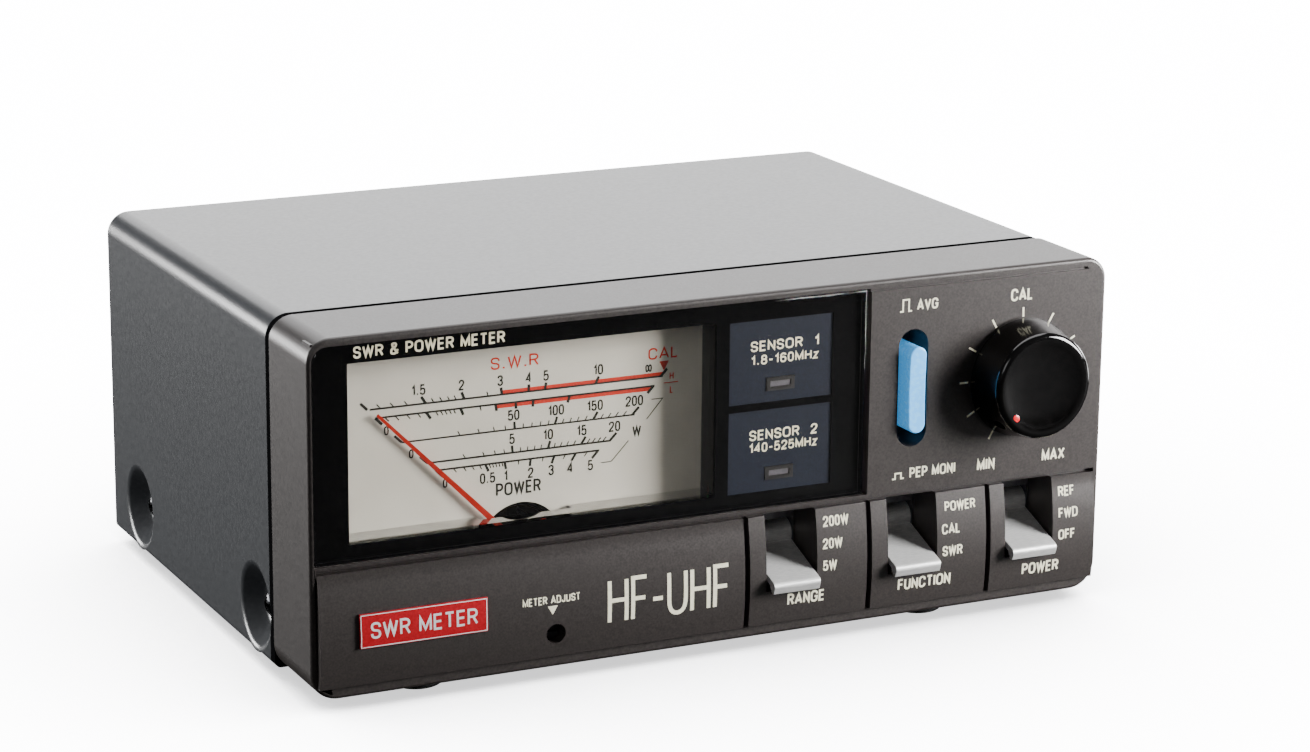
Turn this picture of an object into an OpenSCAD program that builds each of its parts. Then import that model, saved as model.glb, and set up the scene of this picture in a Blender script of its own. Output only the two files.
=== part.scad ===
// SWR and power meter: a steel-cased table instrument with a moulded front panel.
// Millimetres. +X is right as seen from the front, the front faces -Y, +Z is up.
// Depths are counted from the front face of the panel rim (y = 0, backwards is +Y) and heights
// from the underside of the panel; stand() puts the whole thing on its feet and centres its depth.

/* [Case] */
// Width of the front panel
case_w = 155; // [155:1:200]
// Height of the front panel without the feet
case_h = 63; // [63:0.5:80]
// Depth of the moulded front panel
bezel_d = 18; // [18:0.5:26]
// Length of the folded cover behind the front panel
cover_d = 90; // [90:1:130]
// Corner radius at the top of the case
top_r = 4.2; // [3:0.1:5]
// Corner radius at the bottom of the front panel
bottom_r = 5; // [3:0.1:5.5]
// Side wall of the moulded front panel
bezel_wall = 2.2; // [1.8:0.1:2.7]
// Front wall of the moulded front panel
face_t = 2.5; // [2.3:0.1:3]
// Thickness of the steel sheet
sheet_t = 1; // [0.8:0.05:1.2]
// How far the cover stands back inside the outline of the front panel
cover_inset = 0.25; // [0.1:0.05:0.6]
// Dark joint between the front panel and the cover
seam = 0.4; // [0.2:0.1:0.8]
// Width of the inward flange along each bottom edge of the cover
return_w = 8; // [5:0.5:9]
// How far the rear panel sits inside the end of the cover
rear_recess = 1.5; // [0.5:0.1:4]
// Height of the rubber feet below the panel
foot_h = 2.3; // [1.5:0.1:5]
// Radius of a rubber foot
foot_r = 5; // [3.5:0.1:5.4]

/* [Cover screws] */
// Radius of a pressed screw dish where it meets the side
dish_r = 7.5; // [6.5:0.1:7.8]
// Radius of the flat floor of the dish
dish_floor_r = 4.2; // [3.6:0.1:5]
// Depth of the dish
dish_depth = 3.75; // [2.5:0.05:4.2]
// Height of the screw centres above the underside
dish_z = 8.8; // [8.7:0.1:12]
// Depth of the front screw centre behind the front face
dish_front_y = 28; // [27.5:0.5:40]
// Distance of the rear screw centre from the end of the cover
dish_rear_gap = 15.5; // [12:0.5:30]
// Radius of a cover screw head
cover_head_r = 3; // [2.4:0.1:3.4]

/* [Lower blocks] */
// Underside lip below the raised blocks
block_z0 = 2.3; // [1.5:0.1:4]
// Height of the top edge of the blocks
block_top = 22.3; // [22:0.1:24]
// Radius of the gentle bulge of the blocks
bulge_r = 58; // [52:1:64]
// How far the bulge stands out at its fullest
bulge_out = 1.3; // [1:0.1:1.6]
// Height of the fullest line of the bulge
bulge_z = 10; // [9:0.5:12]
// Distance from the case side to the end of the blocks
block_margin = 1.2; // [0.8:0.1:2]
// Width of the grooves between the blocks
groove_w = 1; // [0.6:0.1:1.4]
// Depth of the grooves
groove_deep = 1.2; // [0.6:0.1:1.5]
// Distance of the two grooves at the ends of the range block from the right side
groove_from_right = [73.3, 48.7, 23.95];

/* [Window] */
// Width of the clear window
lens_w = 104.3; // [104:0.1:106]
// Thickness of the clear window
lens_t = 2; // [1.6:0.1:2.5]
// Gap between the case side and the window
lens_margin = 0.9; // [0.6:0.1:1.4]
// Height of the groove and ridge between the blocks and the window
ridge_h = 1.5; // [1.2:0.1:2]
// Rim of the panel above the window
rim_h = 1.5; // [1:0.1:2.5]
// Thickness of the black print behind the window
mask_t = 0.2; // [0.15:0.05:0.3]
// Width of the clear dial opening in the print
dial_w = 68.6; // [64:0.1:69]
// Height of the clear dial opening in the print
dial_h = 31.5; // [28:0.1:32]
// Bottom of the dial opening above the bottom of the window
dial_rise = 2.5; // [2.5:0.1:4]
// Width of the dark gap between the window and the plate beside it
plate_gap = 0.9; // [0.5:0.1:1.2]
// Width of a sensor indicator opening
film_w = 20.4; // [16:0.1:21]
// Height of a sensor indicator opening
film_h = 15; // [12:0.1:15.2]
// Thickness of a sensor indicator film
film_t = 0.25; // [0.15:0.05:0.3]
// Heights of the two sensor openings' centres, first sensor first
film_z = [50, 33.7];
// Distance from the window's left edge to the centre of the sensor openings
film_from_left = 88.4; // [88:0.1:89]
// Width and height of a lamp frame
lamp_frame = [5.6, 2.4];
// Width and height of the light guide in it
guide_size = [4, 1];
// How far a lamp sits below the centre of its film
lamp_drop = 4.3; // [3:0.1:5]

/* [Meter] */
// Distance from the window's left edge to the pointer's axis
meter_from_left = 41.3; // [41:0.1:41.6]
// Height of the pointer's axis
pivot_z = 19.9; // [19.6:0.1:20.5]
// Depth of the front of the dial plate
dial_y = 8.4; // [8.2:0.1:9]
// Thickness of the dial plate
dial_t = 0.5; // [0.3:0.1:0.6]
// Radius of the cut-out in the dial plate around the movement
dial_cut_r = 8; // [7:0.1:8.4]
// Wall of the clear meter cover
clear_wall = 1.5; // [1.2:0.1:1.6]
// Front of the clear meter cover
clear_front = 1.2; // [1:0.1:1.5]
// Length of the pointer from its axis
pointer_len = 38; // [30:0.5:38.5]
// Angle of the pointer at rest, from straight up
pointer_rest = -45; // [-48:1:-40]
// Width of the pointer at its root
pointer_w = 1.1; // [0.7:0.1:1.4]
// Radius of the movement's staff
staff_r = 0.5; // [0.4:0.05:0.6]
// Radius of the core magnet
core_r = 4.6; // [4:0.1:4.8]
// Half width of the moving coil, outside
coil_out = 6.6; // [6.3:0.1:6.8]
// Inner radius of the iron yoke
yoke_in = 7.3; // [7.1:0.1:7.6]
// Outer radius of the iron yoke
yoke_out = 11.5; // [11:0.1:12]
// Radius of the zero-adjust hole in the panel
zero_hole_r = 1.8; // [1.6:0.1:2.2]
// Radius of the zero-adjust screw
zero_screw_r = 1.5; // [1.3:0.05:1.55]
// Height of the zero-adjust screw
zero_z = 6.5; // [6.3:0.1:7]
// How far right of the pointer's axis the zero-adjust screw sits
zero_offset = 2.4; // [0:0.1:3]
// Offset of the zero screw's driving pin
zero_throw = 1; // [0.8:0.05:1.2]

/* [CAL knob] */
// Distance of the knob's axis from the case side
knob_from_right = 17.5; // [17:0.1:20]
// Height of the knob's axis
knob_z = 42.3; // [41:0.1:44]
// Radius of the knob at the panel
knob_base_r = 11; // [10:0.1:12]
// Radius of the knob's front face
knob_face_r = 9.8; // [9:0.1:10.6]
// How far the knob stands out of the panel
knob_out = 8.2; // [7.5:0.1:12]
// Radius of the control's shaft
shaft_r = 3; // [2.5:0.05:3.6]
// Wall of the threaded bush around the shaft
bush_wall = 1.4; // [1:0.1:1.6]
// Radius of the control's body
pot_r = 8.25; // [7.6:0.05:9.5]

/* [Push button] */
// Distance of the button's axis from the case side
button_from_right = 40.1; // [39.5:0.1:42]
// Height of the button's centre
button_z = 42.5; // [41:0.1:43]
// Width of the button cap
button_w = 3.55; // [3:0.05:4.3]
// Height of the button cap
button_h = 15.9; // [13:0.1:18]
// How far the released button stands out
button_out = 2; // [1:0.1:3]
// Travel of the button
button_travel = 2.5; // [1.5:0.1:3]
// Width of the slot in the panel
slot_w = 6; // [5.6:0.1:7]
// Height of the slot in the panel
slot_h = 21.7; // [20:0.1:23]

/* [Lever switches] */
// Distances of the three levers from the case side: range, function, power
lever_from_right = [64.45, 39.8, 15.3];
// Width of a lever
lever_w = 9.3; // [7.5:0.1:10]
// Height of the levers' pivots
lever_z = 15.5; // [15:0.1:16]
// Depth of the levers' pivots
lever_y = 10.3; // [10:0.1:12]
// Length of a lever from its pivot
lever_len = 15; // [13:0.1:18]
// Half of the levers' swing
lever_swing = 20; // [14:1:20]
// Radius of a lever's hub
hub_r = 2.6; // [2.2:0.1:2.7]
// Radius of a lever's pivot pin
pin_r = 0.8; // [0.6:0.05:1]
// Effective length of a lever's tail
tail_len = 4; // [3.8:0.1:4.2]
// Bottom of the lever recess
recess_z0 = 8.5; // [8:0.1:9]
// Depth of the lever recess
recess_d = 8; // [7.6:0.1:8]

/* [Rear] */
// Distances of the coaxial sockets from the middle
socket_x = [24, 54];
// Height of the coaxial sockets
socket_z = 31; // [28:0.5:36]
// Radius of a socket's outer thread
socket_r = 7.94; // [7.9:0.01:8]
// Side of a socket's square flange
flange_w = 25.4; // [24:0.1:26]
// Thickness of a socket's flange
flange_t = 1.6; // [1.2:0.1:2]
// Spacing of a socket's screws
screw_pitch = 18.3; // [17:0.1:19]
// Length of a socket's thread
thread_len = 13.9; // [12:0.1:16]
// Radius of the socket contact's bore
contact_bore_r = 2; // [1.8:0.05:2.1]
// Radius of the power inlet's bore
inlet_r = 2.75; // [2.5:0.05:3]
// Width of a sensor box
box_w = 62; // [60:0.5:64]
// Depth of a sensor box
box_d = 41.5; // [38:0.5:44]
// Height of a sensor box
box_h = 38; // [34:0.5:38]

/* [Hidden] */
$fn = 48;
fit = 0.05;              // running clearance of a shaft in its hole
snug = 0.02;             // clearance of a piece pressed on its shaft
loose = 0.3;             // clearance between moving neighbours
slip = 0.1;              // clearance of a piece laid in its seat
eps = 0.01;              // overshoot of a cut

xl = -case_w / 2;
xr = case_w / 2;
cover_y0 = bezel_d + seam;
cover_y1 = bezel_d + cover_d;
cover_half = xr - cover_inset;
cover_z0 = 0.3;
cover_z1 = case_h - cover_inset;
frame_y = bezel_d + 0.5;                       // front of the chassis's front frame
floor_z = cover_z0 + sheet_t + slip;           // underside of the chassis floor
rear_y = cover_y1 - rear_recess;               // outer face of the rear panel
flange_half = cover_half - dish_depth - sheet_t - slip;
socket_y = rear_y + flange_t;
rear_end = socket_y + thread_len;
y_mid = (rear_end - knob_out) / 2;
dish_y = [dish_front_y, cover_y1 - dish_rear_gap];

lens_x0 = xl + lens_margin;
lens_x1 = lens_x0 + lens_w;
lens_z0 = block_top + ridge_h;
lens_z1 = case_h - rim_h;
film_y = lens_t + mask_t;                      // front of the sensor films
recess_y = film_y + film_t + fit;              // floor of the window recess
wall_y = recess_y + 2;                         // back of the wall behind the window
film_x = lens_x0 + film_from_left;
mx = lens_x0 + meter_from_left;                // pointer's axis
dial_z0 = lens_z0 + dial_rise;
clear_half = dial_w / 2 + 0.55;                // inside half width of the clear cover
clear_z1 = dial_z0 + dial_h + 0.8;             // inside top of the clear cover
clear_y0 = recess_y + slip;
housing_y = dial_y + dial_t + slip;            // front of the meter housing's flange
housing_z0 = 2.6;
tub_y1 = housing_y + 25;                       // back of the meter housing
arm_y = dial_y - 1.1;                          // front of the pointer's arm
arm_t = 0.35;
bridge_y = arm_y - 1;                          // back of the front bridge
coil_y = [housing_y + 1.6, housing_y + 15.4];  // ends of the moving coil
coil_bar = 1.3;
magnet_y = [coil_y[0] + 1.8, coil_y[1] - 1.8];
spring_y = [housing_y + 0.3, coil_y[1] + 0.6]; // fronts of the two hairsprings
zero_x = mx + zero_offset;
zero_rise = pivot_z - zero_z;
zero_dist = sqrt(zero_rise * zero_rise + zero_offset * zero_offset);
zero_lean = atan2(-zero_offset, zero_rise);    // direction from the zero screw to the axis

knob_x = xr - knob_from_right;
bush_r = shaft_r + fit + bush_wall;
nut_r = bush_r + 2.4;
nut_t = 2;
grub_turn = 135;
button_x = xr - button_from_right;
cap_back = recess_d + 0.5;                     // back of the button cap
switch_y = cap_back + 1 + 4.5;                 // front of the push switch
board_y = max(24.5, switch_y + 10.5);
board_t = 1.6;
lever_x = [for (d = lever_from_right) xr - d];
recess_w = lever_w + 0.9;
ear_in = lever_w / 2 + loose;
ear_t = 0.8;
slider_y = lever_y + hub_r + loose;
base_y = slider_y + 4.6;
slider_half = 3;
tail_r = 0.8;
board_x = [xr - 73, flange_half - sheet_t - 0.5];
board_z = [4, 58];
post_at = [[xr - 53, 54], [xr - 53, 28.5], [xr - 29, 54], [xr - 12, 30]];
screw_in = 5.5;                                // panel screws from the case sides
panel_screw_z = [9, case_h - 9];
box_x = (socket_x[0] + socket_x[1]) / 2;
box_y0 = rear_y - sheet_t - box_d;
box_z0 = socket_z - box_h / 2;
box_t = 1.2;
shelf_z = box_z0 + 8;                          // underside of the coupler board
line_y = rear_y - 15;                          // front of the line conductors
line_t = 1.5;
ring_r = socket_z - shelf_z - board_t - slip;  // outer radius of the current transformer
inlet_y = rear_y + 1.5;

// ---------- shared shapes ----------

// Stands the instrument on its feet and centres its depth on the origin.
module stand() {
    translate([0, -y_mid, foot_h]) children();
}

// Extrudes an outline drawn in X and Z along Y.
module along_y(y0, y1) {
    translate([0, y1, 0]) rotate([90, 0, 0]) linear_extrude(y1 - y0) children();
}

// Extrudes an outline drawn in Y and Z along X.
module along_x(x0, x1) {
    translate([x0, 0, 0]) rotate([90, 0, 90]) linear_extrude(x1 - x0) children();
}

// A round bar along Y with its axis at x, z.
module bar_y(x, z, r, y0, y1) {
    translate([x, y0, z]) rotate([-90, 0, 0]) cylinder(r = r, h = y1 - y0);
}

// A box given by its corners.
module block(x, y, z) {
    translate([x[0], y[0], z[0]]) cube([x[1] - x[0], y[1] - y[0], z[1] - z[0]]);
}

// A rectangle in X and Z with one radius at its top corners and one at its bottom corners.
module outline(x0, x1, z0, z1, rt, rb) {
    translate([x0 + rb, z0]) square([x1 - x0 - 2 * rb, rb + eps]);
    translate([x0 + rt, z1 - rt - eps]) square([x1 - x0 - 2 * rt, rt + eps]);
    translate([x0, z0 + rb]) square([x1 - x0, z1 - z0 - rb - rt]);
    for (x = [x0 + rb, x1 - rb]) translate([x, z0 + rb]) circle(r = rb);
    for (x = [x0 + rt, x1 - rt]) translate([x, z1 - rt]) circle(r = rt);
}

// An upright slot with round ends, centred on x, z.
module slot(x, z, w, h) {
    translate([x - w / 2, z - (h - w) / 2]) square([w, h - w]);
    for (s = [-1, 1]) translate([x, z + s * (h - w) / 2]) circle(r = w / 2);
}

// The space in front of the bulged face of the lower blocks, grown by t.
module bulge(t) {
    translate([0, bulge_r - bulge_out, bulge_z]) rotate([0, 90, 0])
        cylinder(r = bulge_r + t, h = case_w, center = true, $fn = 200);
}

// ---------- case ----------

module front_panel() {
    half = xr - bezel_wall;
    lip = cover_half - sheet_t - 0.15;
    color("#4a4644") stand() difference() {
        union() {
            along_y(0, bezel_d) difference() {
                outline(xl, xr, 0, case_h, top_r, bottom_r);
                outline(-half, half, bezel_wall, case_h - bezel_wall, 2, 3);
            }
            along_y(0, face_t) outline(xl, xr, 0, case_h, top_r, bottom_r);
            intersection() {
                bulge(0);
                block([xl + block_margin, xr - block_margin], [-3, 1], [block_z0, block_top]);
            }
            block([xl + 1, lens_x1 + plate_gap + 2], [1, wall_y], [lens_z0 - 1, case_h - 1]);
            panel_lip(lip);
            for (x = lever_x) recess_walls(x);
            along_y(face_t - eps, recess_d + 0.2) slot(button_x, button_z, slot_w + 2.4, slot_h + 2.4);
            for (s = [-1, 1], z = panel_screw_z) screw_boss(s, z, half);
            for (p = post_at) bar_y(p[0], p[1], 3, face_t - eps, board_y);
        }
        window_recess();
        block_grooves();
        for (x = lever_x)
            block([x - recess_w / 2, x + recess_w / 2], [-3, recess_d + 1], [recess_z0, block_top]);
        along_y(-1, recess_d - 1) slot(button_x, button_z, slot_w, slot_h);
        along_y(-1, recess_d + 1)
            slot(button_x, button_z, button_w + 2 * loose, button_h + 2 * loose);
        bar_y(knob_x, knob_z, bush_r + fit, -1, face_t + 1);
        bar_y(zero_x, zero_z, zero_hole_r, -3, face_t + 1);
        for (x = [-xr + screw_in, xr - screw_in], z = panel_screw_z)
            bar_y(x, z, 1.3, frame_y - 7, frame_y + 1);
        for (p = post_at) bar_y(p[0], p[1], 1, board_y - 8, board_y + 1);
    }
}

// The lip that the cover slides over, on the sides and the top.
module panel_lip(lip) {
    along_y(bezel_d - 2.5, bezel_d + 2) difference() {
        outline(-lip, lip, 4, cover_z1 - sheet_t - 0.15, top_r - sheet_t, eps);
        outline(1.2 - lip, lip - 1.2, 3, cover_z1 - sheet_t - 1.35, top_r - sheet_t - 1.2, eps);
    }
}

module recess_walls(x) {
    t = 1.2;
    block([x - recess_w / 2 - t, x + recess_w / 2 + t], [face_t - eps, recess_d],
          [recess_z0 - t, block_top + t]);
}

module screw_boss(s, z, half) {
    x0 = xr - screw_in - 3;
    block(s > 0 ? [x0, half + eps] : [-half - eps, -x0], [housing_y + 1.8, frame_y], [z - 3.4, z + 3.4]);
}

// The step that takes the window, the opening for the meter and the holes for the lamps.
module window_recess() {
    along_y(-1, recess_y) lens_outline(slip, plate_gap);
    block([mx - clear_half - clear_wall - slip, mx + clear_half + clear_wall + slip], [1, wall_y + 1],
          [dial_z0 - clear_wall - slip, clear_z1 + clear_wall + slip]);
    block([mx - clear_half - clear_wall - slip, mx + clear_half + clear_wall + slip],
          [face_t + 0.4, wall_y + 1], [block_top - 1, dial_z0]);
    for (z = film_z) lamp_block(z - lamp_drop, fit, [1, wall_y + 1]);
    block([lens_x1, xr - 4], [-1, 0.5], [lens_z1 - 0.5, lens_z1]);
}

module block_grooves() {
    for (d = groove_from_right)
        block([xr - d - groove_w / 2, xr - d + groove_w / 2], [-3, groove_deep], [block_z0, block_top]);
    block([xl + block_margin, xr - block_margin], [-3, groove_deep], [block_top, block_top + 0.8]);
}

module lens_outline(grow, grow_right) {
    x1 = lens_x1 + grow_right;
    outline(lens_x0 - grow, x1, lens_z0 - grow, lens_z1 + grow, 2.8, 0.4);
    translate([x1 - 6, lens_z0]) square([6, lens_z1 + grow - lens_z0]);
}

module top_cover() {
    color("#2b2c2e") stand() difference() {
        union() {
            along_y(cover_y0, cover_y1) difference() {
                outline(-cover_half, cover_half, cover_z0, cover_z1, top_r, 1.2);
                outline(-cover_half + sheet_t, cover_half - sheet_t, cover_z0 + sheet_t,
                        cover_z1 - sheet_t, top_r - sheet_t, 0.4);
                translate([-cover_half + return_w, cover_z0 - 1])
                    square([2 * (cover_half - return_w), 4]);
            }
            for (s = [-1, 1], y = dish_y) dish(s, y, sheet_t, sheet_t);
        }
        for (s = [-1, 1], y = dish_y) dish(s, y, 0, 0);
        for (s = [-1, 1], y = dish_y) side_bar(s, y, 1.7, 20, 0);
    }
}

// The pressed dish for a cover screw: a cone that opens outwards, grown by g and deepened by d.
module dish(s, y, g, d) {
    slope = (dish_r - dish_floor_r) / dish_depth;
    past = g > 0 ? 0 : 1;
    translate([s * (cover_half + past), y, dish_z]) rotate([0, -s * 90, 0])
        cylinder(r1 = dish_r + g * 0.75 + slope * past, r2 = dish_floor_r + g * 0.75,
                 h = dish_depth + d + past);
}

// A round bar along X that starts back from the side of the cover and runs inwards.
module side_bar(s, y, r, len, back) {
    translate([s * (cover_half - back), y, dish_z]) rotate([0, -s * 90, 0]) cylinder(r = r, h = len);
}

module chassis() {
    t = sheet_t;
    color("#8d9093") stand() difference() {
        union() {
            block([-flange_half, flange_half], [frame_y, rear_y], [floor_z, floor_z + t]);
            for (s = [-1, 1])
                block(s > 0 ? [flange_half - t, flange_half] : [-flange_half, t - flange_half],
                      [frame_y + 4, rear_y], [floor_z, 18]);
            along_y(frame_y, frame_y + t) difference() {
                outline(3 - xr, xr - 3, floor_z, case_h - 3, 2.2, 0.5);
                translate([-xr + screw_in + 2.8, housing_z0 + 1])
                    square([case_w - 2 * screw_in - 5.6, case_h - 7 - housing_z0]);
            }
            along_y(rear_y - t, rear_y)
                outline(1.5 - cover_half, cover_half - 1.5, floor_z, cover_z1 - 1.5, 3, 0.5);
        }
        for (x = [-xr + screw_in, xr - screw_in], z = panel_screw_z)
            bar_y(x, z, 1.6, frame_y - 1, frame_y + t + 1);
        for (s = [-1, 1], y = dish_y) side_bar(s, y, 1.5, 20, 0);
        at_sockets() socket_holes(rear_y - t - 1, rear_y + 1);
        bar_y(0, socket_z, 4.1, rear_y - t - 1, rear_y + 1);
    }
}

module cover_screws() {
    head_h = 1.9;
    color("#1b1b1c") stand() for (s = [-1, 1], y = dish_y) difference() {
        union() {
            side_bar(s, y, 1.45, 2 * sheet_t + 2, dish_depth - eps);
            translate([s * (cover_half - dish_depth), y, dish_z]) rotate([0, s * 90, 0])
                rotate_extrude() dome(cover_head_r, head_h);
        }
        for (a = [0, 90]) translate([s * (cover_half - dish_depth + head_h), y, dish_z])
            rotate([a, 0, 0]) cube([2.2, 0.6, 3], center = true);
    }
}

// Half the section of a domed head of radius r and height h.
module dome(r, h) {
    ball = (r * r + h * h) / (2 * h);
    edge = asin(r / ball);
    polygon(concat([[0, 0]], [for (i = [0:8])
        let (a = edge * (1 - i / 8)) [ball * sin(a), ball * cos(a) - ball + h]]));
}

module panel_screws() {
    color("#b9bcc0") stand() for (x = [-xr + screw_in, xr - screw_in], z = panel_screw_z) {
        difference() {
            union() {
                bar_y(x, z, 1.25, frame_y - 6, frame_y + sheet_t + eps);
                bar_y(x, z, 2.5, frame_y + sheet_t, frame_y + sheet_t + 1.6);
            }
            block([x - 2, x + 2], [frame_y + sheet_t + 0.8, frame_y + sheet_t + 3],
                  [z - 0.3, z + 0.3]);
        }
    }
}

module rubber_feet() {
    color("#161616") stand() {
        for (x = [xl + 22.5, xr - 33]) foot(x, 9, 0);
        for (x = [xl + 22.5, xr - 33]) foot(x, cover_y1 - 14, floor_z);
    }
}

// A round rubber foot with a turned-in bottom edge; its top is at height z.
module foot(x, y, z) {
    edge = 0.8;
    translate([x, y, -foot_h]) cylinder(r1 = foot_r - edge, r2 = foot_r, h = edge);
    translate([x, y, edge - foot_h]) cylinder(r = foot_r, h = foot_h - edge + z);
}

// ---------- window ----------

module window_lens() {
    color([0.75, 0.8, 0.85, 0.35]) stand() along_y(0, lens_t) lens_outline(0, 0);
}

module window_mask() {
    color("#0a0a0c") stand() along_y(lens_t, lens_t + mask_t) difference() {
        lens_outline(0, 0);
        translate([mx - dial_w / 2, dial_z0]) square([dial_w, dial_h]);
        for (z = film_z) translate([film_x - film_w / 2, z - film_h / 2]) square([film_w, film_h]);
    }
}

// The name strip on the left block: blank, and curved to the block's bulge.
module badge() {
    plate_w = 23.4;
    plate_z = [9, 15.05];
    x0 = xl + 8.2;
    color("#c01824") stand() difference() {
        intersection() {
            bulge(0.5);
            block([x0, x0 + plate_w], [-3, 1], plate_z);
        }
        bulge(snug);
    }
}

module sensor_film(z) {
    edge = 0.5;
    color("#27334a") stand() difference() {
        along_y(film_y, film_y + film_t) translate([film_x - film_w / 2 - edge, z - film_h / 2 - edge])
            square([film_w + 2 * edge, film_h + 2 * edge]);
        lamp_block(z - lamp_drop, fit, [film_y - 1, film_y + 1]);
    }
}

module sensor1_film() {
    sensor_film(film_z[0]);
}

module sensor2_film() {
    sensor_film(film_z[1]);
}

// The space of a lamp frame, grown by g, between two depths.
module lamp_block(z, g, y) {
    block([film_x - lamp_frame[0] / 2 - g, film_x + lamp_frame[0] / 2 + g], y,
          [z - lamp_frame[1] / 2 - g, z + lamp_frame[1] / 2 + g]);
}

module guide_block(z, g, y) {
    block([film_x - guide_size[0] / 2 - g, film_x + guide_size[0] / 2 + g], y,
          [z - guide_size[1] / 2 - g, z + guide_size[1] / 2 + g]);
}

module led_frames() {
    color("#101012") stand() for (z = film_z) difference() {
        lamp_block(z - lamp_drop, 0, [lens_t + fit, wall_y + 1]);
        guide_block(z - lamp_drop, fit, [0, wall_y + 2]);
    }
}

module light_guides() {
    color("#a6a4ad") stand() for (z = film_z)
        guide_block(z - lamp_drop, 0, [film_y, board_y - 4]);
}

module band_leds() {
    color("#d8d8e0") stand() for (z = film_z)
        block([film_x - 2.5, film_x + 2.5], [board_y - 3.7, board_y],
              [z - lamp_drop - 1.3, z - lamp_drop + 1.3]);
}

// ---------- meter ----------

module meter_cover() {
    out = clear_half + clear_wall;
    notch = dial_cut_r + 0.8;
    color([0.85, 0.88, 0.9, 0.3]) stand() difference() {
        block([mx - out, mx + out], [clear_y0, dial_y + dial_t],
              [dial_z0 - clear_wall, clear_z1 + clear_wall]);
        block([mx - clear_half, mx + clear_half], [clear_y0 + clear_front, dial_y + 2],
              [dial_z0, clear_z1]);
        block([mx - out - 1, mx + out + 1], [dial_y - slip, dial_y + 2], [0, dial_z0 + eps]);
        block([mx - notch, mx + notch], [arm_y - 0.8, dial_y + 2], [0, dial_z0 + 1]);
    }
}

module meter_housing() {
    out = clear_half + clear_wall;
    wall = 1.5;
    tub_half = out - 9.3;
    tub_z1 = clear_z1 - 2.5;
    color("#141416") stand() difference() {
        union() {
            block([mx - out, mx + out], [housing_y, housing_y + wall],
                  [housing_z0, clear_z1 + clear_wall]);
            block([mx - out, mx + out], [face_t + 0.5, housing_y + eps],
                  [housing_z0, dial_z0 - clear_wall - 0.2]);
            block([mx - tub_half, mx + tub_half], [housing_y, tub_y1],
                  [housing_z0 + wall, tub_z1]);
            for (s = [-1, 1], z = [housing_z0 + 1.4, clear_z1 + clear_wall - 1.5])
                bar_y(mx + s * 30, z, 1.35, housing_y, frame_y);
        }
        difference() {
            block([mx - out + wall, mx + out - wall], [face_t + 0.5 + wall, housing_y + eps],
                  [housing_z0 + wall, dial_z0]);
            // ribs beside the zero screw's flange keep it in its hole
            block([zero_x - 6, zero_x - 4], [0, 5.6], [0, 10]);
            block([zero_x + 4, zero_x + 6], [0, 5.6], [0, 10]);
        }
        difference() {
            block([mx - tub_half + wall, mx + tub_half - wall], [housing_y - 1, tub_y1 - wall],
                  [housing_z0 + 2 * wall, tub_z1 - wall]);
            difference() {
                block([mx - 8, mx + 8], magnet_y, [0, pivot_z - 6]);
                bar_y(mx, pivot_z, yoke_out + fit, 0, tub_y1);
            }
            for (s = [-1, 1]) bar_y(mx + s * 18, dial_z0 + 20, 2.5, coil_y[0] + 4, tub_y1);
        }
        bar_y(zero_x, zero_z, zero_screw_r + fit, 0, face_t + 3);
    }
}

module dial_plate() {
    color("#f1f0ea") stand() difference() {
        block([mx - clear_half + slip, mx + clear_half - slip], [dial_y, dial_y + dial_t],
              [dial_z0 - clear_wall + slip, clear_z1 - slip]);
        bar_y(mx, pivot_z, dial_cut_r, dial_y - 1, dial_y + 1);
    }
}

// Turns a piece of the movement, drawn for mid scale, to the pointer's rest angle.
module at_pivot() {
    translate([mx, 0, pivot_z]) rotate([0, pointer_rest, 0]) children();
}

module pointer() {
    tip_w = 0.55;
    tail = 6.5;
    color("#e8321e") stand() at_pivot() difference() {
        union() {
            along_y(arm_y, arm_y + arm_t) polygon([[-pointer_w / 2, -tail], [pointer_w / 2, -tail],
                [pointer_w / 2, 5], [tip_w / 2, pointer_len], [-tip_w / 2, pointer_len],
                [-pointer_w / 2, 5]]);
            block([-5.5, 5.5], [arm_y, arm_y + arm_t], [-0.45, 0.45]);
            bar_y(0, 0, 2, arm_y - 0.2, arm_y + arm_t + 0.25);
            bar_y(0, -tail, 1, arm_y - 0.1, arm_y + arm_t + 0.15);
            for (s = [-1, 1]) bar_y(s * 5.5, 0, 0.9, arm_y - 0.1, arm_y + arm_t + 0.15);
        }
        bar_y(0, 0, staff_r + snug, arm_y - 1, arm_y + 2);
    }
}

module moving_coil() {
    half_t = 1.2;
    color("#b4662d") stand() at_pivot() difference() {
        block([-coil_out, coil_out], coil_y, [-half_t, half_t]);
        block([coil_bar - coil_out, coil_out - coil_bar], [coil_y[0] + coil_bar, coil_y[1] - coil_bar],
              [-half_t - 1, half_t + 1]);
    }
}

// The two short pivots cemented to the ends of the coil.
module pointer_staff() {
    base = 0.4;
    color("#c9ccd1") stand() {
        bar_y(mx, pivot_z, staff_r, bridge_y - 0.25, coil_y[0] - base + eps);
        bar_y(mx, pivot_z, 1.3, coil_y[0] - base, coil_y[0]);
        bar_y(mx, pivot_z, 1.3, coil_y[1], coil_y[1] + base);
        bar_y(mx, pivot_z, staff_r, coil_y[1] + base - eps, coil_y[1] + 1.55);
    }
}

module core_magnet() {
    color("#5b5e63") stand() bar_y(mx, pivot_z, core_r, magnet_y[0], magnet_y[1]);
}

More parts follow.
